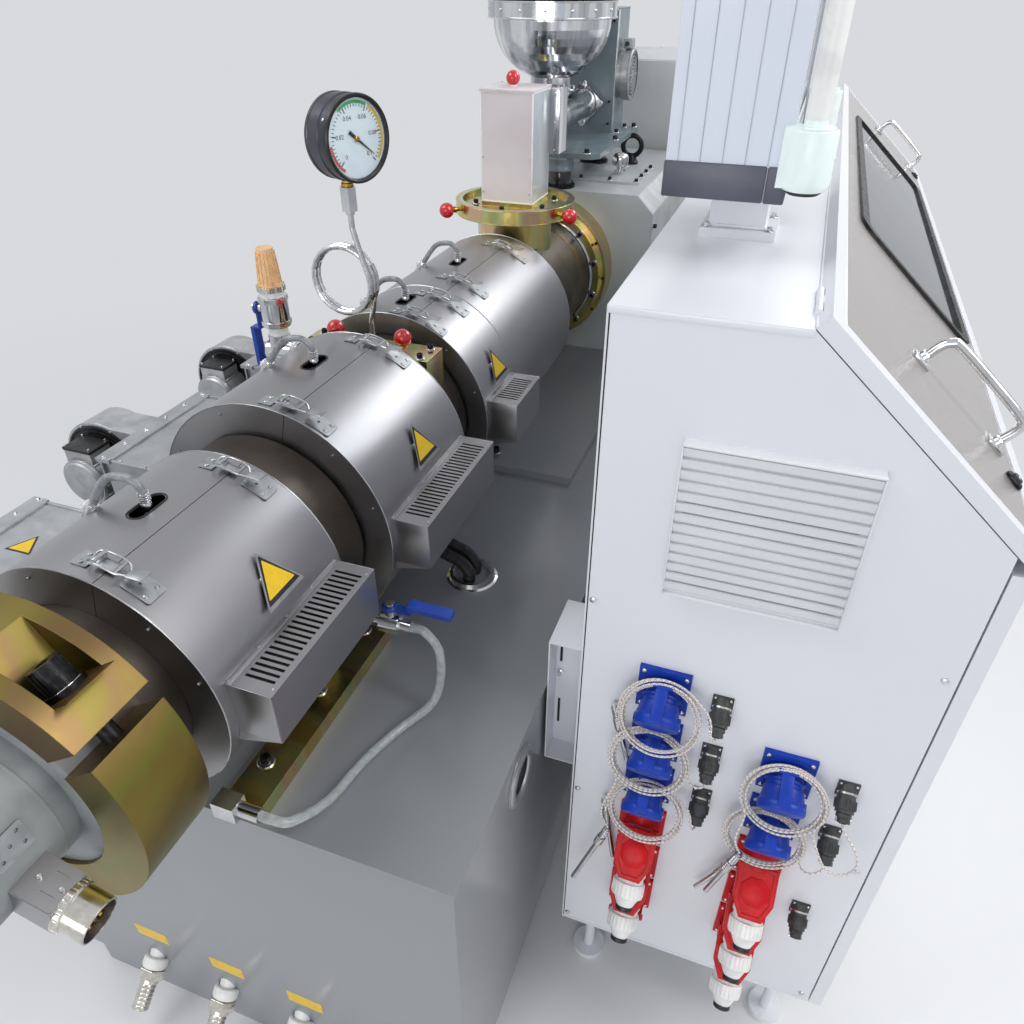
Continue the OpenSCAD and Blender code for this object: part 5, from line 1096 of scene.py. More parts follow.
def make_feed_fittings(sizes):
    """Knobs, rim and screws of the feed flange, and plates, edges, lid and knob of the chute."""
    flange = Shape("feed_flange_fittings", "zinc_plate")
    for angle in (221.8, -24.8):
        way = Vector((cos(radians(angle)), sin(radians(angle)), 0))
        ball_knob(flange, FEED + way * 211 - Vector((0, 0, 18)), way, sizes.knob, 20)
    for z, out in ((-1.2, 173.2), (-36.5, 173.2), (-19, 172.6)):
        flange.turned([(out - 1.6, z - 0.9), (out + 0.3, z - 0.5), (out + 0.3, z + 0.5),
                       (out - 1.6, z + 0.9)], "zinc", facing(FEED), 96)
    flange.turned([(153, -1.4), (156, 0.4), (158, 0.5), (161, 0)], "bright_steel", facing(FEED), 96)
    # The bolt circle's places that the chute's foot leaves free
    for x, y in circle(116, 6, first=30):
        if max(abs(x), abs(y)) > 86:
            flange.screw(facing(FEED + Vector((x, y, -12))), 7.0, "black_oxide", "bright_steel")
    flange.turned([(106.8, -182), (108.4, -181), (108.4, -176), (106.8, -175)], "zinc", facing(FEED), 64)
    flange.turned([(106.8, -44), (108.6, -43), (108.6, -39), (106.8, -38)], "zinc", facing(FEED), 64)
    flange.done()
    low, high = span("feed_chute")
    chute = Shape("feed_chute_trim", "clear_acrylic")
    chute.block((high.x, low.y + 1.5, low.z + 1.5), (high.x + 1.5, high.y - 1.5, high.z - 1), "chute_clear",
                0.4)
    for x in (low.x - 0.8, high.x - 3.2):
        for y in (low.y - 0.8, high.y - 3.2):
            chute.block((x, y, low.z), (x + 4, y + 4, high.z + 1), "white_abs", 0.8)
    for z in (low.z, high.z - 4):
        chute.block((low.x + 3, low.y - 0.8, z), (high.x - 3, low.y + 1, z + 5), "white_abs", 0.6)
        chute.block((high.x - 1, low.y + 3, z), (high.x + 1.8, high.y - 3, z + 5), "white_abs", 0.6)
    chute.block((low.x - 3, low.y - 3, high.z), (high.x + 3, high.y + 3, high.z + 6), "chute_film", 1.2)
    knob_x = FEED.x - 8
    chute.turned([(0, 0), (11, 0), (11, 3), (8, 5), (0, 5)], "white_abs",
                 facing((knob_x, FEED.y, high.z + 6)), 24)
    chute.ball(facing((knob_x, FEED.y, high.z + 25)), sizes.knob * 0.9, "knob_red", 28)
    for z in (1500, 1590):
        for side in (-1, 1):
            chute.screw(facing((FEED.x + side * 68, low.y - 0.2, z), TO_FRONT), 2.2, "bright_steel")
    chute.done()
    spout = Shape("spout_cover", "stainless_sheet")
    for x0, x1 in ((-106.5, low.x - 1), (high.x + 2, 96.5)):
        spout.block((x0, 1753.4, 1581.4), (x1, 1755, 1747.6), "hopper_steel", 0.4)
        for z in (1592, 1664, 1737):
            spout.turned([(0, 0), (3.2, 0), (2.8, 1.6), (0, 2.2)], "bright_steel",
                         facing(((x0 + x1) / 2, 1753.2, z), TO_FRONT), 14)
    spout.block((-108, 1754, 1747.5), (98, 1830, 1749.5), "hopper_steel", 0.6)
    for y in (1765, 1818):
        for x in (-98, 88):
            spout.screw(facing((x, y, 1749.5)), 2.8, "bright_steel", None, 6)
    spout.done()
    ring = Shape("gearbox_flange_fittings", "zinc_plate")
    at, rim = facing((0, 1884, AXIS), TO_FRONT), facing((0, 1913, AXIS), TO_FRONT)
    ring.turned([(176.4, 0), (176.4, 3.0), (181, 3.4), (184, 1.2), (186, 0)], "bright_steel", at, 96)
    for x, up in circle(197, 12, first=15):
        ring.screw(at @ moved(x, up, 0), 7.0, "black_oxide", "bright_steel")
    for x, up in circle(216, 12):
        ring.screw(rim @ moved(x, up, 0), 5.0, "black_oxide")
    ring.done()
    feed = Shape("feed_barrel_bands", "dark_steel")
    for y in (1499, 1556, 1805):
        feed.turned([(175.4, 0), (177.2, 0.8), (177.2, 5.2), (175.4, 6)], "milled",
                    facing((0, y, AXIS), TO_BACK), 96)
    feed.done()


GEARBOX_TOP = 1432.0


def make_drive_fittings(sizes):
    """Cover plate, breather, eye bolt, painted highlight on the bevel, and panel screws of the gearbox and the
    motor cover.
    """
    low, high = span("gearbox")
    top, left, right = GEARBOX_TOP, low.x, high.x
    drive = Shape("gearbox_fittings", "bright_steel")
    cover_x, cover_y, cover_top = (-158, -50, 60, 160, 250), (2158, 2397), top + 8
    for x, y in [(x, y) for x in cover_x for y in cover_y] + [(x, y) for y in (2240, 2318)
                                                              for x in cover_x[::4]]:
        drive.screw(facing((x, y, cover_top)), 6.0, "black_oxide", "bright_steel")
    r, cap_x, cap_y = sizes.breather, 170, 2261
    cap = facing((cap_x, cap_y, cover_top))
    drive.turned([(0, 0), (r * 0.8, 0), (r * 0.8, 12), (0, 12)], "bright_steel", cap, 6)
    drive.turned([(0, 12), (r * 0.45, 12), (r * 0.45, 26), (r, 29), (r * 1.04, 34), (r * 1.04, 52), (r, 58),
                  (r * 0.8, 64), (r * 0.4, 68), (0, 69)], "bright_steel", cap, 32)
    for x, y in circle(r * 1.03, 12):
        drive.turned([(0, 0), (2.0, 0), (2.0, 1.2), (0, 1.2)], "black_rubber",
                     facing((cap_x + x, cap_y + y, top + 46), (x, y, 0)), 8)
    eye_x, eye_y, eye_r = 157, 2500, 34
    drive.turned([(0, 0), (26, 0), (26, 6), (22, 10), (17, 20), (13, 30), (0, 34)], "black_oxide",
                 facing((eye_x, eye_y, top)), 28)
    eye = [(eye_x + x, eye_y, top + 60 + up) for x, up in circle(eye_r, 30)]
    drive.swept([*eye, eye[0]], 9, "black_oxide", 14, False)
    drive.done()
    # Painted highlight: a thin bright sheet laid on the top chamfer, where the light catches it
    strip = Shape("gearbox_bevel_painted_highlight", "bright_steel")
    bevel, inset = 55, 0.05 * 55
    out = Vector((1, 0, 1)).normalized() * 1.2
    points = []
    for y in (2003, 2797):
        for here in (Vector((right - inset, y, top - bevel + inset)),
                     Vector((right - bevel + inset, y, top - inset))):
            points += [here, here + out]
    strip.add(points, [(0, 1, 3, 2), (4, 6, 7, 5), (0, 4, 5, 1), (2, 3, 7, 6), (1, 5, 7, 3), (0, 2, 6, 4)],
              "silver_strip_and_painted_highlight")
    strip.done()
    panels = Shape("gearbox_panels", "machine_paint")
    for x, way in ((right, TO_RIGHT), (left, TO_LEFT)):
        for y in (2020, 2780):
            for z in (940, 1340):
                panels.screw(facing((x, y, z), way), 7.0, "black_oxide", "bright_steel")
        x0, x1 = sorted((x - 0.3 * way[0], x + 0.4 * way[0]))
        panels.block((x0, 2010, 1128), (x1, 2790, 1130), "shadow_gap", 0)
        sight = facing((x, 2120, 1010), way)
        panels.turned([(0, 0), (26, 0), (26, 4), (22, 7), (0, 7)], "bright_steel", sight, 32)
        panels.turned([(0, 7), (20, 7), (20, 7.5), (0, 7.5)], "glass", sight, 32)
    c_low, c_high = span("motor_cover")
    vent_rise, vent_pitch = 560, 18
    for k in range(9):
        z = c_low.z + vent_rise + vent_pitch * k
        for x in (c_low.x, c_high.x):
            panels.block((x - 0.6, c_low.y + 120, z), (x + 0.6, c_high.y - 120, z + 7), "shadow_gap", 0)
        panels.block((-150, c_high.y - 0.6, z), (240, c_high.y + 0.6, z + 7), "shadow_gap", 0)
    for y in (c_low.y + 14, c_high.y - 14):
        for x in (c_low.x + 14, (c_low.x + c_high.x) / 2, c_high.x - 14):
            panels.screw(facing((x, y, c_high.z)), 5.0, "bright_steel")
    panels.block((c_low.x + 30, c_low.y + 30, c_high.z), (c_high.x - 30, c_high.y - 30, c_high.z + 1.5),
                 "gearbox_paint", 0.8)
    panels.done()


def make_feeder_fittings():
    """Rim, screws and lid of the hopper, bolts of the flanges and slab, motor guard and edge strip."""
    slab, axis, rim_r = 1540.0, Vector((-74, 2215, 0)), 203
    hopper = Shape("hopper_rim", "stainless_sheet")
    for x, y in circle(rim_r, 16, first=11.25):
        hopper.turned([(0, 0), (4.5, 0), (4.2, 2.4), (2.4, 3.8), (0, 4.2)], "bright_steel",
                      facing(axis + Vector((x, y, 1918)), (x, y, 0)), 14)
    for z in (1894, 1937):
        hopper.turned([(rim_r, z), (rim_r + 2.6, z + 1), (rim_r + 2.6, z + 5), (rim_r, z + 6)],
                      "bright_steel", facing(axis), 96)
    hopper.turned([(0, 1944), (208, 1944), (210, 1947), (210, 1956), (206, 1960), (60, 1966), (0, 1966)],
                  "black_rubber", facing(axis), 96)
    hopper.turned([(68, 1690), (84, 1690), (86, 1692), (86, 1697), (84, 1699), (68, 1699)], "hopper_steel",
                  facing(axis), 64)
    for x, y in circle(77, 8, first=22.5):
        hopper.screw(facing(axis + Vector((x, y, 1699))), 4.4, "bright_steel", None, 6)
    grip = ((40, 1966), (40, 1986), (-40, 1986), (-40, 1966))
    hopper.swept([axis + Vector((x, -40, z)) for x, z in grip], 6.0, "bright_steel", 12)
    hopper.done()
    bolts = Shape("feeder_bolts", "bright_steel")
    screw_x, screw_z, bolt_r = -10, 1636, 61
    for y in (1843, 2392):
        for side in (-bolt_r, bolt_r):
            for x, face, z, way in ((side, y, 0, TO_FRONT), (side, y + 9, 0, TO_BACK),
                                    (0, y, side, TO_FRONT)):
                bolts.screw(facing((screw_x + x, face, screw_z + z), way), 6.5, "bright_steel",
                            "bright_steel", 6)
    for y in (1834, 1862, 2380):
        bolts.turned([(46, 0), (48, 0.8), (48, 5.2), (46, 6)], "bright_steel",
                     facing((screw_x, y, screw_z), TO_BACK), 48)
    for x, y in ((-136, 2026), (110, 2026), (-136, 2300), (136, 2300), (-136, 2596), (136, 2596)):
        bolts.screw(facing((x, y, slab)), 8.0, "black_oxide", "bright_steel")
    for x in (-124, 104):
        for y in (2452, 2582):
            bolts.screw(facing((x, y, slab)), 7.0, "black_oxide", "bright_steel")
    bolts.done()
    posts = Shape("feeder_post_collars", "slate_paint")
    for y in (2046, 2492):
        at = facing((17, y, GEARBOX_TOP))
        posts.turned([(40, 0), (52, 0), (52, 8), (48, 11), (40.2, 12)], "black_oxide", at, 40)
        posts.turned([(40.1, 12), (40.8, 13), (40.8, 48), (40.1, 50)], "post_black", at, 40)
        posts.turned([(44.9, 52), (46.6, 53.5), (46.6, 60), (45.4, 62), (45.4, 82), (46.6, 84), (46.6, 90),
                      (44.9, 92)], "slate", at, 40)
        for dx, dy in circle(46, 4, first=45):
            posts.screw(at @ moved(dx, dy, 10), 3.2, "black_oxide")
    posts.done()
    guard = Shape("feeder_motor_guard", "bright_steel")
    at = facing((133, 2517, 1717), TO_RIGHT)
    guard.turned([(72, -4), (80.6, -4), (81, -2), (81, 1), (79, 3), (72, 3)], "feeder_silver", at, 64)
    guard.turned([(0, -3), (14, -3), (15, 0.6), (12, 1.6), (0, 1.6)], "feeder_silver", at, 32)
    for ring in (22, 33, 44, 55, 66):
        guard.turned([(ring, -1.8), (ring + 4.5, -1.8), (ring + 4.5, 0.4), (ring, 0.4), (ring, -1.8)],
                     "feeder_silver", at, 56)
    guard.fins(8, (14, -2.2, -2.2), (72, 2.2, 0.6), "feeder_silver", 0.4, at)
    guard.turned([(0, -3.6), (72, -3.6), (72, -3.2), (0, -3.2)], "shadow_gap", at, 48)
    guard.block((100, 2490, 1797), (128, 2544, 1826), "feeder_silver", 3.0)
    guard.turned([(0, 0), (7, 0), (7, 8), (5, 10), (0, 10)], "black_rubber",
                 facing((114, 2489, 1812), TO_FRONT), 20)
    guard.done()
    strip = Shape("feeder_stand_trim", "slate_paint")
    strip.block((88.6, 2433, 1541), (91, 2452, 1912), "silver_strip_and_painted_highlight", 0.6)
    strip.block((-110.5, 2430.5, 1912.4), (90.5, 2603.5, 1916), "slate", 1.0)
    for z in (1570, 1640, 1880):
        for x in (-96, 76):
            strip.screw(facing((x, 2431.8, z), TO_FRONT), 4.0, "black_oxide")
    strip.block((-70, 2602, 1620), (50, 2604, 1860), "slate", 0.8)
    for x, z in ((-64, 1626), (44, 1626), (-64, 1854), (44, 1854)):
        strip.screw(facing((x, 2604, z), TO_BACK), 3.4, "bright_steel")
    strip.done()


def make_lid_fittings(sizes):
    """The sloping lid's raised edge, hammered panel, window, bow handles and locks."""
    # The lid's own frame: x runs down the slope from the hinge, y along it, and z out of its face
    hinge = moved(830, 0, 1668) @ turn(41.136, "Y")
    face, edge_top = 17, 20.6
    panel = Shape("lid_panel", "cabinet_paint", "lid")
    wide, long, middle = 300, 1382, (225, 1709)
    panel.plate(rounded(383.5, 2481.5, 3, 216, 1635), 1.0, "silver_panel", hinge @ moved(0, 0, face),
                [rounded(wide, long, 34, *middle)])
    for y in (394.6, 2875.4):
        panel.block((23, y - 1.5, face), (409, y + 1.5, edge_top), "cabinet_white", 0.8, hinge)
    for x in (24.6, 407.4):
        panel.block((x - 1.5, 396, face), (x + 1.5, 2874, edge_top), "cabinet_white", 0.8, hinge)
    panel.done()
    window = Shape("lid_window", None, "lid")
    pane = rounded(wide - sizes.window, long - sizes.window, 28, *middle)
    window.plate(rounded(wide + sizes.window, long + sizes.window, 40, *middle), 7.0, "black_rubber",
                 hinge @ moved(0, 0, face + 0.2), [pane])
    window.plate(pane, 1.2, "window_dark", hinge @ moved(0, 0, face + 0.1))
    window.done()
    hardware = Shape("lid_handles", "bright_steel", "lid")
    upper, lower = 190, 361
    bend = ((0, 26), (0, 50), (5, 62), (18, 68))
    for y in (600, 2690):
        for x in (upper, lower):
            hardware.block((x - 16, y - 16, 17.5), (x + 16, y + 16, 24), "bright_steel", 1.6, hinge)
            hardware.turned([(sizes.bow * 1.5, 24), (sizes.bow * 1.35, 30), (sizes.bow, 32)],
                            "bright_steel", hinge @ moved(x, y, 0), 28)
        path = smooth([*((upper + x, y, z) for x, z in bend), ((upper + lower) / 2, y, 69),
                       *((lower - x, y, z) for x, z in bend[::-1])], 5)
        hardware.swept([hinge @ p for p in path], sizes.bow, "bright_steel", 18)
    for y in (560, 2700):
        lock = hinge @ moved(394, y - 20, 17.6)
        hardware.turned([(0, 0), (15, 0), (15, 4), (13, 6), (0, 6)], "black_oxide", lock, 32)
        hardware.turned([(0, 6), (8.5, 6), (8.5, 9), (7, 10), (0, 10)], "plug_grey", lock, 24)
        hardware.block((-1.2, -6, 9.6), (1.2, 6, 10.4), "bright_steel", 0.2, lock)
    hardware.done()


def make_cabinet_fittings():
    """Seams, screws and locks of the cabinet, frame of the air inlet, and screws of the cable duct."""
    low, high = span("cabinet_body")
    trim = Shape("cabinet_trim", "cabinet_paint")
    trim.block((low.x + 3, WALL - 0.3, low.z + 203), (low.x + 5, WALL + 0.4, 1660), "shadow_gap", 0)
    for x, z in ((828, 1655), (1120, 203)):
        trim.block((580, WALL - 1.2, z), (x, WALL + 1, z + 9), "cabinet_white", 0.8)
    trim.swept([(829, WALL + 6, 1665.5), (829, 2894, 1665.5)], 1.8, "cabinet_white", 8)
    for x in (592, 1108):
        for z in (228, 690, 1180):
            trim.turned(DOME_HEAD, "bright_steel", facing((x, WALL, z), TO_FRONT), 16)
    for z in (380, 1230):
        lock = facing((high.x, 430, z), TO_RIGHT)
        trim.turned([(0, 0), (15, 0), (15, 3), (13, 5), (0, 5)], "plug_grey", lock, 28)
        trim.turned([(0, 5), (9, 5), (9, 9), (0, 9)], "black_oxide", lock, 20)
    trim.done()
    inlet = Shape("inlet_slats", "louver_plastic")
    at, half, pitch = facing((824.5, 354, 1370), TO_FRONT), 125, 17.6
    for k in range(14):
        low_edge = -121 + pitch * k
        top_edge = low_edge + 15.2
        inlet.add([(-half, low_edge, 0.2), (half, low_edge, 0.2), (half, top_edge, 4.0),
                   (-half, top_edge, 4.0), (-half, top_edge, 0.2), (half, top_edge, 0.2)],
                  [(0, 1, 2, 3), (3, 2, 5, 4), (0, 3, 4), (1, 5, 2), (0, 4, 5, 1)], "louver_grey", at)
        inlet.block((0.4 - half, top_edge, 0.1), (half - 0.4, top_edge + 1.6, 0.5), "louver_shade", 0, at)
    for side in (-1, 1):
        inlet.block((side * 125 - 1.2, -128, 0), (side * 125 + 1.2, 128, 6.8), "louver_grey", 0.8, at)
        inlet.block((-126, side * 127 - 1.6, 0), (126, side * 127 + 1.6, 6.8), "louver_grey", 0.8, at)
    inlet.done()
    duct = Shape("cable_duct_trim", "cabinet_paint")
    d_low, d_high = span("cable_duct_box")
    duct.block((d_low.x, d_low.y - 1.2, d_high.z - 1), (d_high.x - 1, d_high.y + 1, d_high.z + 1.4),
               "cabinet_white", 0.6)
    for z0, z1 in ((d_high.z - 92, d_high.z - 20), (d_low.z + 60, d_low.z + 130)):
        duct.block((d_low.x + 10, d_low.y + 49.4, z0), (d_low.x + 15, d_low.y + 50.2, z1), "shadow_gap", 0)
    duct.turned([(0, 0), (7, 0), (7, 5), (4, 6), (4, 14), (3, 15), (0, 15)], "bright_steel",
                facing((d_low.x + 13, d_low.y + 50, d_high.z - 118), TO_FRONT), 6)
    for z in (d_low.z + 16, d_high.z - 16):
        duct.turned([(0, 0), (4, 0), (3.6, 1.6), (2, 2.4), (0, 2.6)], "bright_steel",
                    facing((d_high.x - 20, d_low.y + 50, z), TO_FRONT), 14)
    duct.done()


def make_terminal_fittings():
    """Profile joints, bottom trim, screen, handle feet, tube and foot bolts of the operator terminal."""
    low, high = span("hmi_box")
    case = Shape("terminal_case_trim", "cabinet_paint")
    trim_top = low.z + 46
    for joint in (16, 46, 76, 106, 136):
        x = low.x + joint
        case.block((x, low.y - 0.6, trim_top), (x + 1.4, low.y + 0.2, high.z - 5), "profile_joint", 0)
    case.block((low.x - 1.5, low.y - 3, low.z - 1), (high.x - 26, high.y + 3, trim_top), "trim_dark", 2.5)
    case.block((high.x - 25, low.y - 3.5, low.z - 1), (high.x + 2, high.y + 3.5, trim_top), "trim_dark",
               2.5)
    case.block((low.x - 2, low.y - 2, high.z - 5), (high.x + 2, high.y + 2, high.z), "louver_grey", 2.0)
    for y in (low.y + 60, high.y - 60):
        for z in (low.z + 90, high.z - 50):
            case.screw(facing((low.x - 0.2, y, z), TO_LEFT), 3.6, "bright_steel")
    case.done()
    screen = Shape("terminal_screen")
    screen.block((high.x - 5.8, low.y + 44, low.z + 64), (high.x - 2.5, high.y - 44, high.z - 34),
                 "plug_grey", 1.0)
    screen.block((high.x - 2.6, low.y + 62, low.z + 104), (high.x - 1.6, high.y - 62, high.z - 50),
                 "screen", 0.4)
    for k in range(8):
        y = low.y + 74 + 36 * k
        screen.block((high.x - 2.6, y, low.z + 76), (high.x - 0.8, y + 24, low.z + 92), "louver_grey", 0.8)
    screen.done()
    grips = Shape("terminal_grip_trim", "handle_mint")
    tube_x = 782
    for y in (592, 1038):
        at = facing((tube_x, y, 1775))
        grips.turned([(0, -9), (20, -9), (24, -6), (26.2, -1), (26.2, 2), (0, 2)], "black_rubber", at, 32)
        grips.turned([(22, -5), (28, -3), (31, 2), (31.6, 8), (31, 66), (30, 69), (27, 69.6), (26, 66),
                      (16, 64)], "mint", at, 48)
        grips.turned([(15.0, 80), (15.4, 82), (15.4, 258), (15.0, 260)], "white_abs", at, 32)
        grips.screw(facing((tube_x + 26, y, 1811), TO_RIGHT), 3.4, "bright_steel")
    grips.done()
    foot = Shape("terminal_foot_bolts", "bright_steel")
    f_low, f_high = span("hmi_pillar")
    for x in (f_low.x + 10, f_high.x - 10):
        for y in (f_low.y + 9, f_high.y - 9):
            foot.screw(facing((x, y, 1679)), 4.6, "bright_steel", "bright_steel", 6)
    foot.block((f_low.x + 24, f_low.y + 10, 1679), (f_low.x + 100, f_high.y - 10, 1684), "cabinet_white",
               1.5)
    foot.done()


# How far the two kinds of socket tip down from the wall, in degrees
SOCKET_TILT, PLUG_TILT = 32, 48
# Column and height of each blue socket, with a round plug beside it
BLUE_PLACES = [(column, BLUE_ROW - row * BLUE_PITCH) for column in (0, 1) for row in range(column, 3)]


def corner_screws(shape, head, steps, x, y, z, half_wide, half_high):
    """Four screw heads in the corners of a flange on the cabinet's end wall."""
    for dx in (-half_wide, half_wide):
        for dz in (-half_high, half_high):
            shape.turned(head, "bright_steel", facing((x + dx, y, z + dz), TO_FRONT), steps)


def make_socket_fittings():
    """Corner screws, ribs and lids of the sockets, rings of the plugs, and springs of the probes."""
    blue = Shape("blue_socket_trim", "socket_blue")
    for column, z in BLUE_PLACES:
        x = SOCKET_COLS[column]
        corner_screws(blue, PAN_HEAD, 14, x, CABINET_END - 8, z, 35, 38)
        at = moved(x, CABINET_END, z) @ turn(SOCKET_TILT, "X") @ moved(0, 0, -2) @ turn(90, "X")
        blue.turned([(30, 14), (33.5, 15), (33.5, 19), (30, 20)], "socket_blue", at, 40)
        blue.turned([(30, 26), (33, 28), (36, 48), (38.4, 52), (39.6, 54), (39.6, 63), (37, 67), (30, 69),
                     (0, 70)], "socket_blue", at, 12, 0.5)
        for k in (-1, 1):
            blue.block((k * 33 - 2.4, -9, 44), (k * 33 + 5.4, 9, 62), "socket_blue", 1.5, at)
        blue.block((-10, 30, 8), (10, 40, 62), "socket_blue", 2.0, at)
        blue.block((-16, 34, 2), (16, 42, 10), "socket_blue", 1.5, at)
    blue.done()
    red = Shape("red_socket_trim", "socket_red")
    white = Shape("white_plug_rings", "white_plastic")
    for c in (0, 1):
        for i in range(3):
            x, z = SOCKET_COLS[c], RED_ROW - i * RED_PITCH
            corner_screws(red, PAN_HEAD, 14, x, CABINET_END - 8, z, 35, 42)
            # The lowest one of the first column is shut, with no plug in it
            if c == 0 and i == 2:
                at = moved(x, CABINET_END, z) @ turn(SOCKET_TILT, "X") @ moved(0, 0, -2) @ turn(90, "X")
                red.turned([(36, 48), (37, 49), (37, 57), (35, 58.6), (27, 58.6), (25, 57), (0, 57)],
                           "socket_red", at, 6, 0.5)
                red.fins(12, (29.6, -2.2, 18), (32.6, 2.2, 46), "socket_red", 0.8, at)
                red.block((-10, 30, 8), (10, 40, 56), "socket_red", 2.0, at)
                continue
            tipped = moved(x, CABINET_END, z) @ turn(PLUG_TILT, "X")
            at, lid = tipped @ turn(90, "X"), tipped @ moved(0, -54, 42)
            red.turned([(32, 30), (35, 31), (35, 41), (32, 42)], "socket_red", at, 40)
            red.fins(10, (31.6, -2.4, 12), (34.4, 2.4, 30), "socket_red", 0.8, at)
            rim = [(-33, 46), (33, 46), (33, -15), (18, -46), (-18, -46), (-33, -15)]
            inner = [(-28, 40), (28, 40), (28, -14), (15, -41), (-15, -41), (-28, -14)]
            red.plate(rim, 2.4, "socket_red", lid, [inner])
            red.turned([(24, -0.6), (27, 0), (27, 1.6), (24, 3.4), (10, 4.2), (0, 4.4)], "socket_red", lid,
                       8, 0.5)
            red.block((-12, 36, -14), (12, 48, 3), "socket_red", 2.0, lid)
            red.swept([lid @ Vector((-22, 48, -6)), lid @ Vector((22, 48, -6))], 4.0, "bright_steel", 12)
            white.turned([(26, 44), (31, 45), (31, 52), (26, 53)], "white_abs", at, 40)
            white.fins(18, (25.4, -1.5, 58), (27.6, 1.5, 92), "white_abs", 0.6, at)
            white.turned([(26, 96), (28.4, 97), (28.4, 103), (26, 104)], "white_abs", at, 40)
            white.fins(24, (29.2, -1.2, 118), (31.0, 1.2, 139), "white_abs", 0.5, at)
            white.turned([(0, 162), (15, 162), (16.5, 164), (16.5, 170), (14, 172), (11, 172), (10, 166),
                          (0, 166)], "black_rubber", at, 32)
    red.done()
    white.done()
    dark = Shape("round_plug_trim", "connector_grey")
    small_head = [(0, 0), (2.6, 0), (2.2, 1.2), (0, 1.8)]
    for column, z in [*BLUE_PLACES, (1, RED_ROW - RED_PITCH)]:
        x = PLUG_COLS[column]
        corner_screws(dark, small_head, 12, x, CABINET_END - 4, z, 12.5, 12.5)
        at = moved(x, CABINET_END, z) @ turn(GLAND_TILT, "X") @ turn(90, "X")
        dark.fins(20, (16.4, -1.1, 18.6), (17.9, 1.1, 33.4), "plug_grey", 0.4, at)
        dark.turned([(15, 6), (16, 6.8), (16, 9.6), (15, 10.4)], "nickel", at, 32)
        dark.turned([(11, 40), (12.6, 41), (12.6, 47), (11, 48)], "plug_grey", at, 8)
        for side in (-1, 1):
            dark.block((side * 9 - 3, -4, 48), (side * 9 + 3, 4, 56), "bright_steel", 0.8, at)
            dark.screw(at @ moved(side * 9, -4, 52) @ turn(90, "X"), 1.7, "bright_steel")
        dark.turned([(0, 55.6), (6.4, 55.6), (6.0, 57.2), (0, 57.6)], "black_rubber", at, 20)
    dark.done()
    probes = Shape("lead_probe_springs", "bright_steel")
    for top, end in zip(PROBE_TOPS, PROBE_ENDS):
        at = facing(top, Vector(end) - Vector(top))
        spring = [at @ Vector((6.4 * cos(k * 0.7), 6.4 * sin(k * 0.7), 4 + 0.42 * k)) for k in range(70)]
        probes.swept(spring, 0.9, "bright_steel", 6)
        for z in (36, 42, 48, 54):
            probes.turned([(8, z), (8.7, z + 0.6), (8.7, z + 2.6), (8, z + 3.2)], "nickel", at, 20)
        for side in (-1, 1):
            probes.block((side * 8.2 - 1, -1.4, 34), (side * 8.2 + 1.6, 1.4, 42), "bright_steel", 0.3, at)
        probes.turned([(5, 62), (5.6, 62.6), (5.6, 66), (5, 66.6)], "nickel", at, 16)
    probes.done()


def make_water_fittings():
    """Hexagons and barbs of the water fittings, and the blank yellow tags beside them."""
    water = Shape("water_fitting_trim", "nickel_fitting")
    for x in (-276, -84, 108):
        at = moved(x, FRONT, 150) @ turn(40, "X") @ turn(90, "X")
        water.turned([(21, 2), (27, 3), (28, 6), (28, 20), (26, 26), (21, 27)], "white_abs", at, 40)
        water.turned([(20, 27), (30, 28), (31, 30), (31, 46), (30, 48), (20, 49)], "nickel", at, 6)
        water.turned([(16, 49), (21, 50), (21, 58), (17, 60)], "nickel", at, 32)
        for barb in range(60, 106, 9):
            water.turned([(15.4, barb), (18.6, barb + 7), (18.6, barb + 8.4), (15.4, barb + 9)], "nickel",
                         at, 32)
        water.turned([(18, 114), (14, 116), (13, 114.6), (0, 114)], "nickel", at, 28)
        water.turned([(0, 114.4), (12, 114.6)], "shadow_gap", at, 20)
    water.done()
    tags = Shape("water_tags")
    for x, z in ((-262, 250), (-66, 239), (128, 234)):
        at = facing((x, FRONT, z), TO_FRONT)
        tags.plate(rounded(84, 42, 3), 0.5, "plate_yellow", at)
        for side in (-1, 1):
            tags.turned([(0, 0.5), (1.3, 0.5), (1.1, 1.0), (0, 1.2)], "bright_steel",
                        at @ moved(side * 37, 0, 0), 10)
    tags.done()


class EXTRUDER_OT_finishes(bpy.types.Operator):
    """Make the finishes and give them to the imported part"""

    bl_idname = "extruder.finishes"
    bl_label = "Finishes"

    def execute(self, context):
        make_finishes(context.scene.extruder_colours)
        dress_nodes()
        return {"FINISHED"}


class EXTRUDER_OT_stage(bpy.types.Operator):
    """Set the floor, the lamps and the camera"""

    bl_idname = "extruder.stage"
    bl_label = "Stage and camera"

    def execute(self, context):
        make_stage(context.scene.extruder_colours)
        return {"FINISHED"}


class EXTRUDER_OT_cords(bpy.types.Operator):
    """Run the hose, the conduits and the thermocouple leads"""

    bl_idname = "extruder.cords"
    bl_label = "Hose, conduits and leads"

    def execute(self, context):
        make_hose()
        make_conduits(context.scene.extruder_sizes.ridge)
        make_leads(context.scene.extruder_sizes)
        return {"FINISHED"}


class EXTRUDER_OT_base(bpy.types.Operator):
    """Fit the base's screws and joints and the water fittings"""

    bl_idname = "extruder.base"
    bl_label = "Base fittings"

    def execute(self, context):
        make_base_fittings(context.scene.extruder_sizes)
        make_water_fittings()
        return {"FINISHED"}


class EXTRUDER_OT_shrouds(bpy.types.Operator):
    """Fit the shrouds, the vents, the ducts and the blowers"""

    bl_idname = "extruder.shrouds"
    bl_label = "Shroud fittings"

    def execute(self, context):
        make_shroud_fittings(context.scene.extruder_sizes)
        make_vent_trim(context.scene.extruder_sizes)
        return {"FINISHED"}


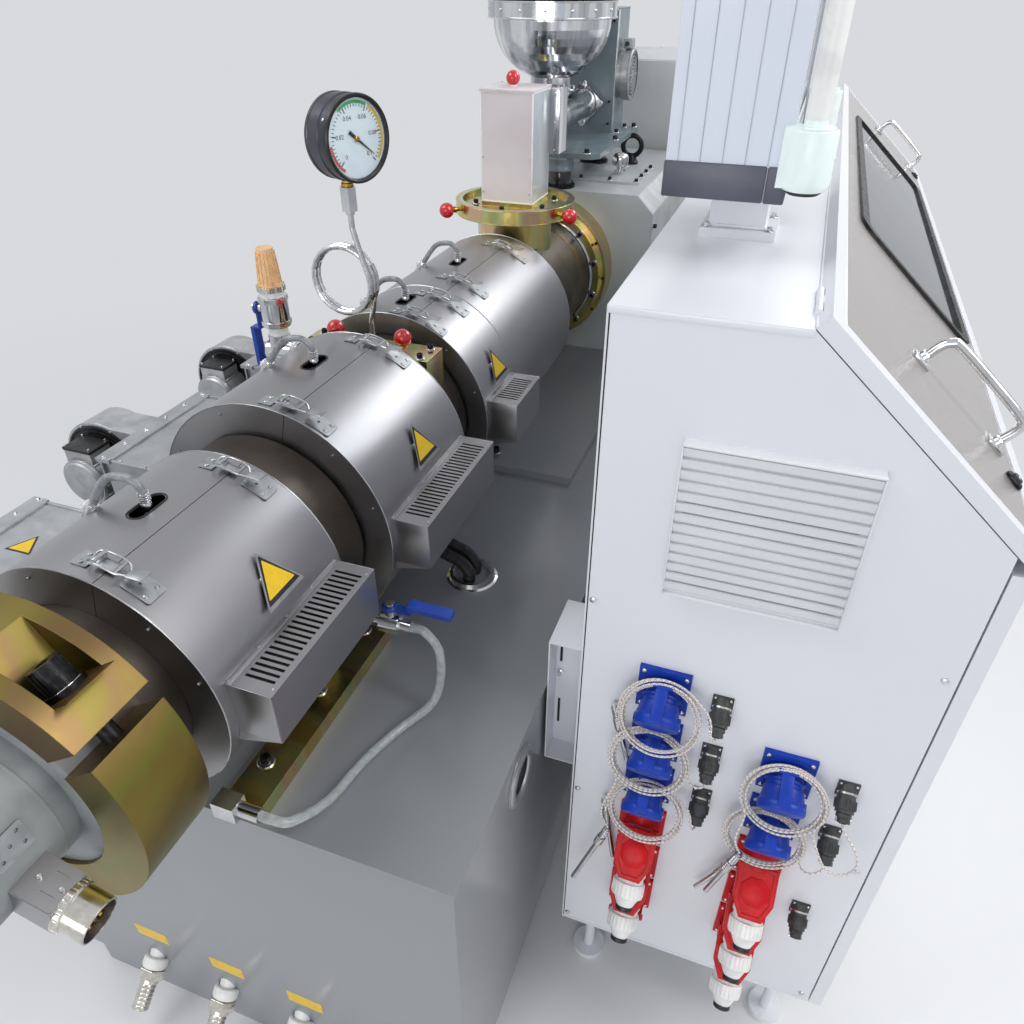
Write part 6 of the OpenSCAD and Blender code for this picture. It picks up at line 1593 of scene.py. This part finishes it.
class EXTRUDER_OT_die_and_port(bpy.types.Operator):
    """Fit the die end, the vent port, the vacuum valve and the gauge"""

    bl_idname = "extruder.die_and_port"
    bl_label = "Die end and vent port"

    def execute(self, context):
        make_die_fittings()
        make_vent_fittings(context.scene.extruder_sizes)
        return {"FINISHED"}


class EXTRUDER_OT_feed_and_drive(bpy.types.Operator):
    """Fit the feed flange, the chute, the gearbox and the feeder"""

    bl_idname = "extruder.feed_and_drive"
    bl_label = "Feed and drive"

    def execute(self, context):
        make_feed_fittings(context.scene.extruder_sizes)
        make_drive_fittings(context.scene.extruder_sizes)
        make_feeder_fittings()
        return {"FINISHED"}


class EXTRUDER_OT_cabinet(bpy.types.Operator):
    """Fit the lid, the cabinet, the operator terminal and the sockets"""

    bl_idname = "extruder.cabinet"
    bl_label = "Cabinet and sockets"

    def execute(self, context):
        make_lid_fittings(context.scene.extruder_sizes)
        make_cabinet_fittings()
        make_terminal_fittings()
        make_socket_fittings()
        return {"FINISHED"}


# The steps in their order: the camera and the cords come first
STEPS = (EXTRUDER_OT_finishes, EXTRUDER_OT_stage, EXTRUDER_OT_cords, EXTRUDER_OT_base, EXTRUDER_OT_shrouds,
         EXTRUDER_OT_die_and_port, EXTRUDER_OT_feed_and_drive, EXTRUDER_OT_cabinet)


class EXTRUDER_PT_panel(bpy.types.Panel):
    """The extruder's steps, sizes and colours"""

    bl_idname = "EXTRUDER_PT_panel"
    bl_label = "Plastic extruder"
    bl_space_type = "VIEW_3D"
    bl_region_type = "UI"
    bl_category = "Extruder"

    def draw(self, context):
        for step in STEPS:
            self.layout.operator(step.bl_idname)
        for group in (context.scene.extruder_sizes, context.scene.extruder_colours):
            column = self.layout.column(heading=group.bl_rna.description)
            for name in group.__annotations__:
                column.prop(group, name)


def register():
    """Registers the settings, the steps and the panel."""
    for kind in (ExtruderColours, ExtruderSizes, *STEPS, EXTRUDER_PT_panel):
        bpy.utils.register_class(kind)
    bpy.types.Scene.extruder_colours = PointerProperty(type=ExtruderColours)
    bpy.types.Scene.extruder_sizes = PointerProperty(type=ExtruderSizes)


def unregister():
    """Takes the settings, the steps and the panel away again."""
    del bpy.types.Scene.extruder_sizes
    del bpy.types.Scene.extruder_colours
    for kind in reversed((ExtruderColours, ExtruderSizes, *STEPS, EXTRUDER_PT_panel)):
        bpy.utils.unregister_class(kind)


def main():
    """Runs every step in order."""
    register()
    for step in STEPS:
        area, name = step.bl_idname.split(".")
        getattr(getattr(bpy.ops, area), name)()


if __name__ == "__main__":
    main()
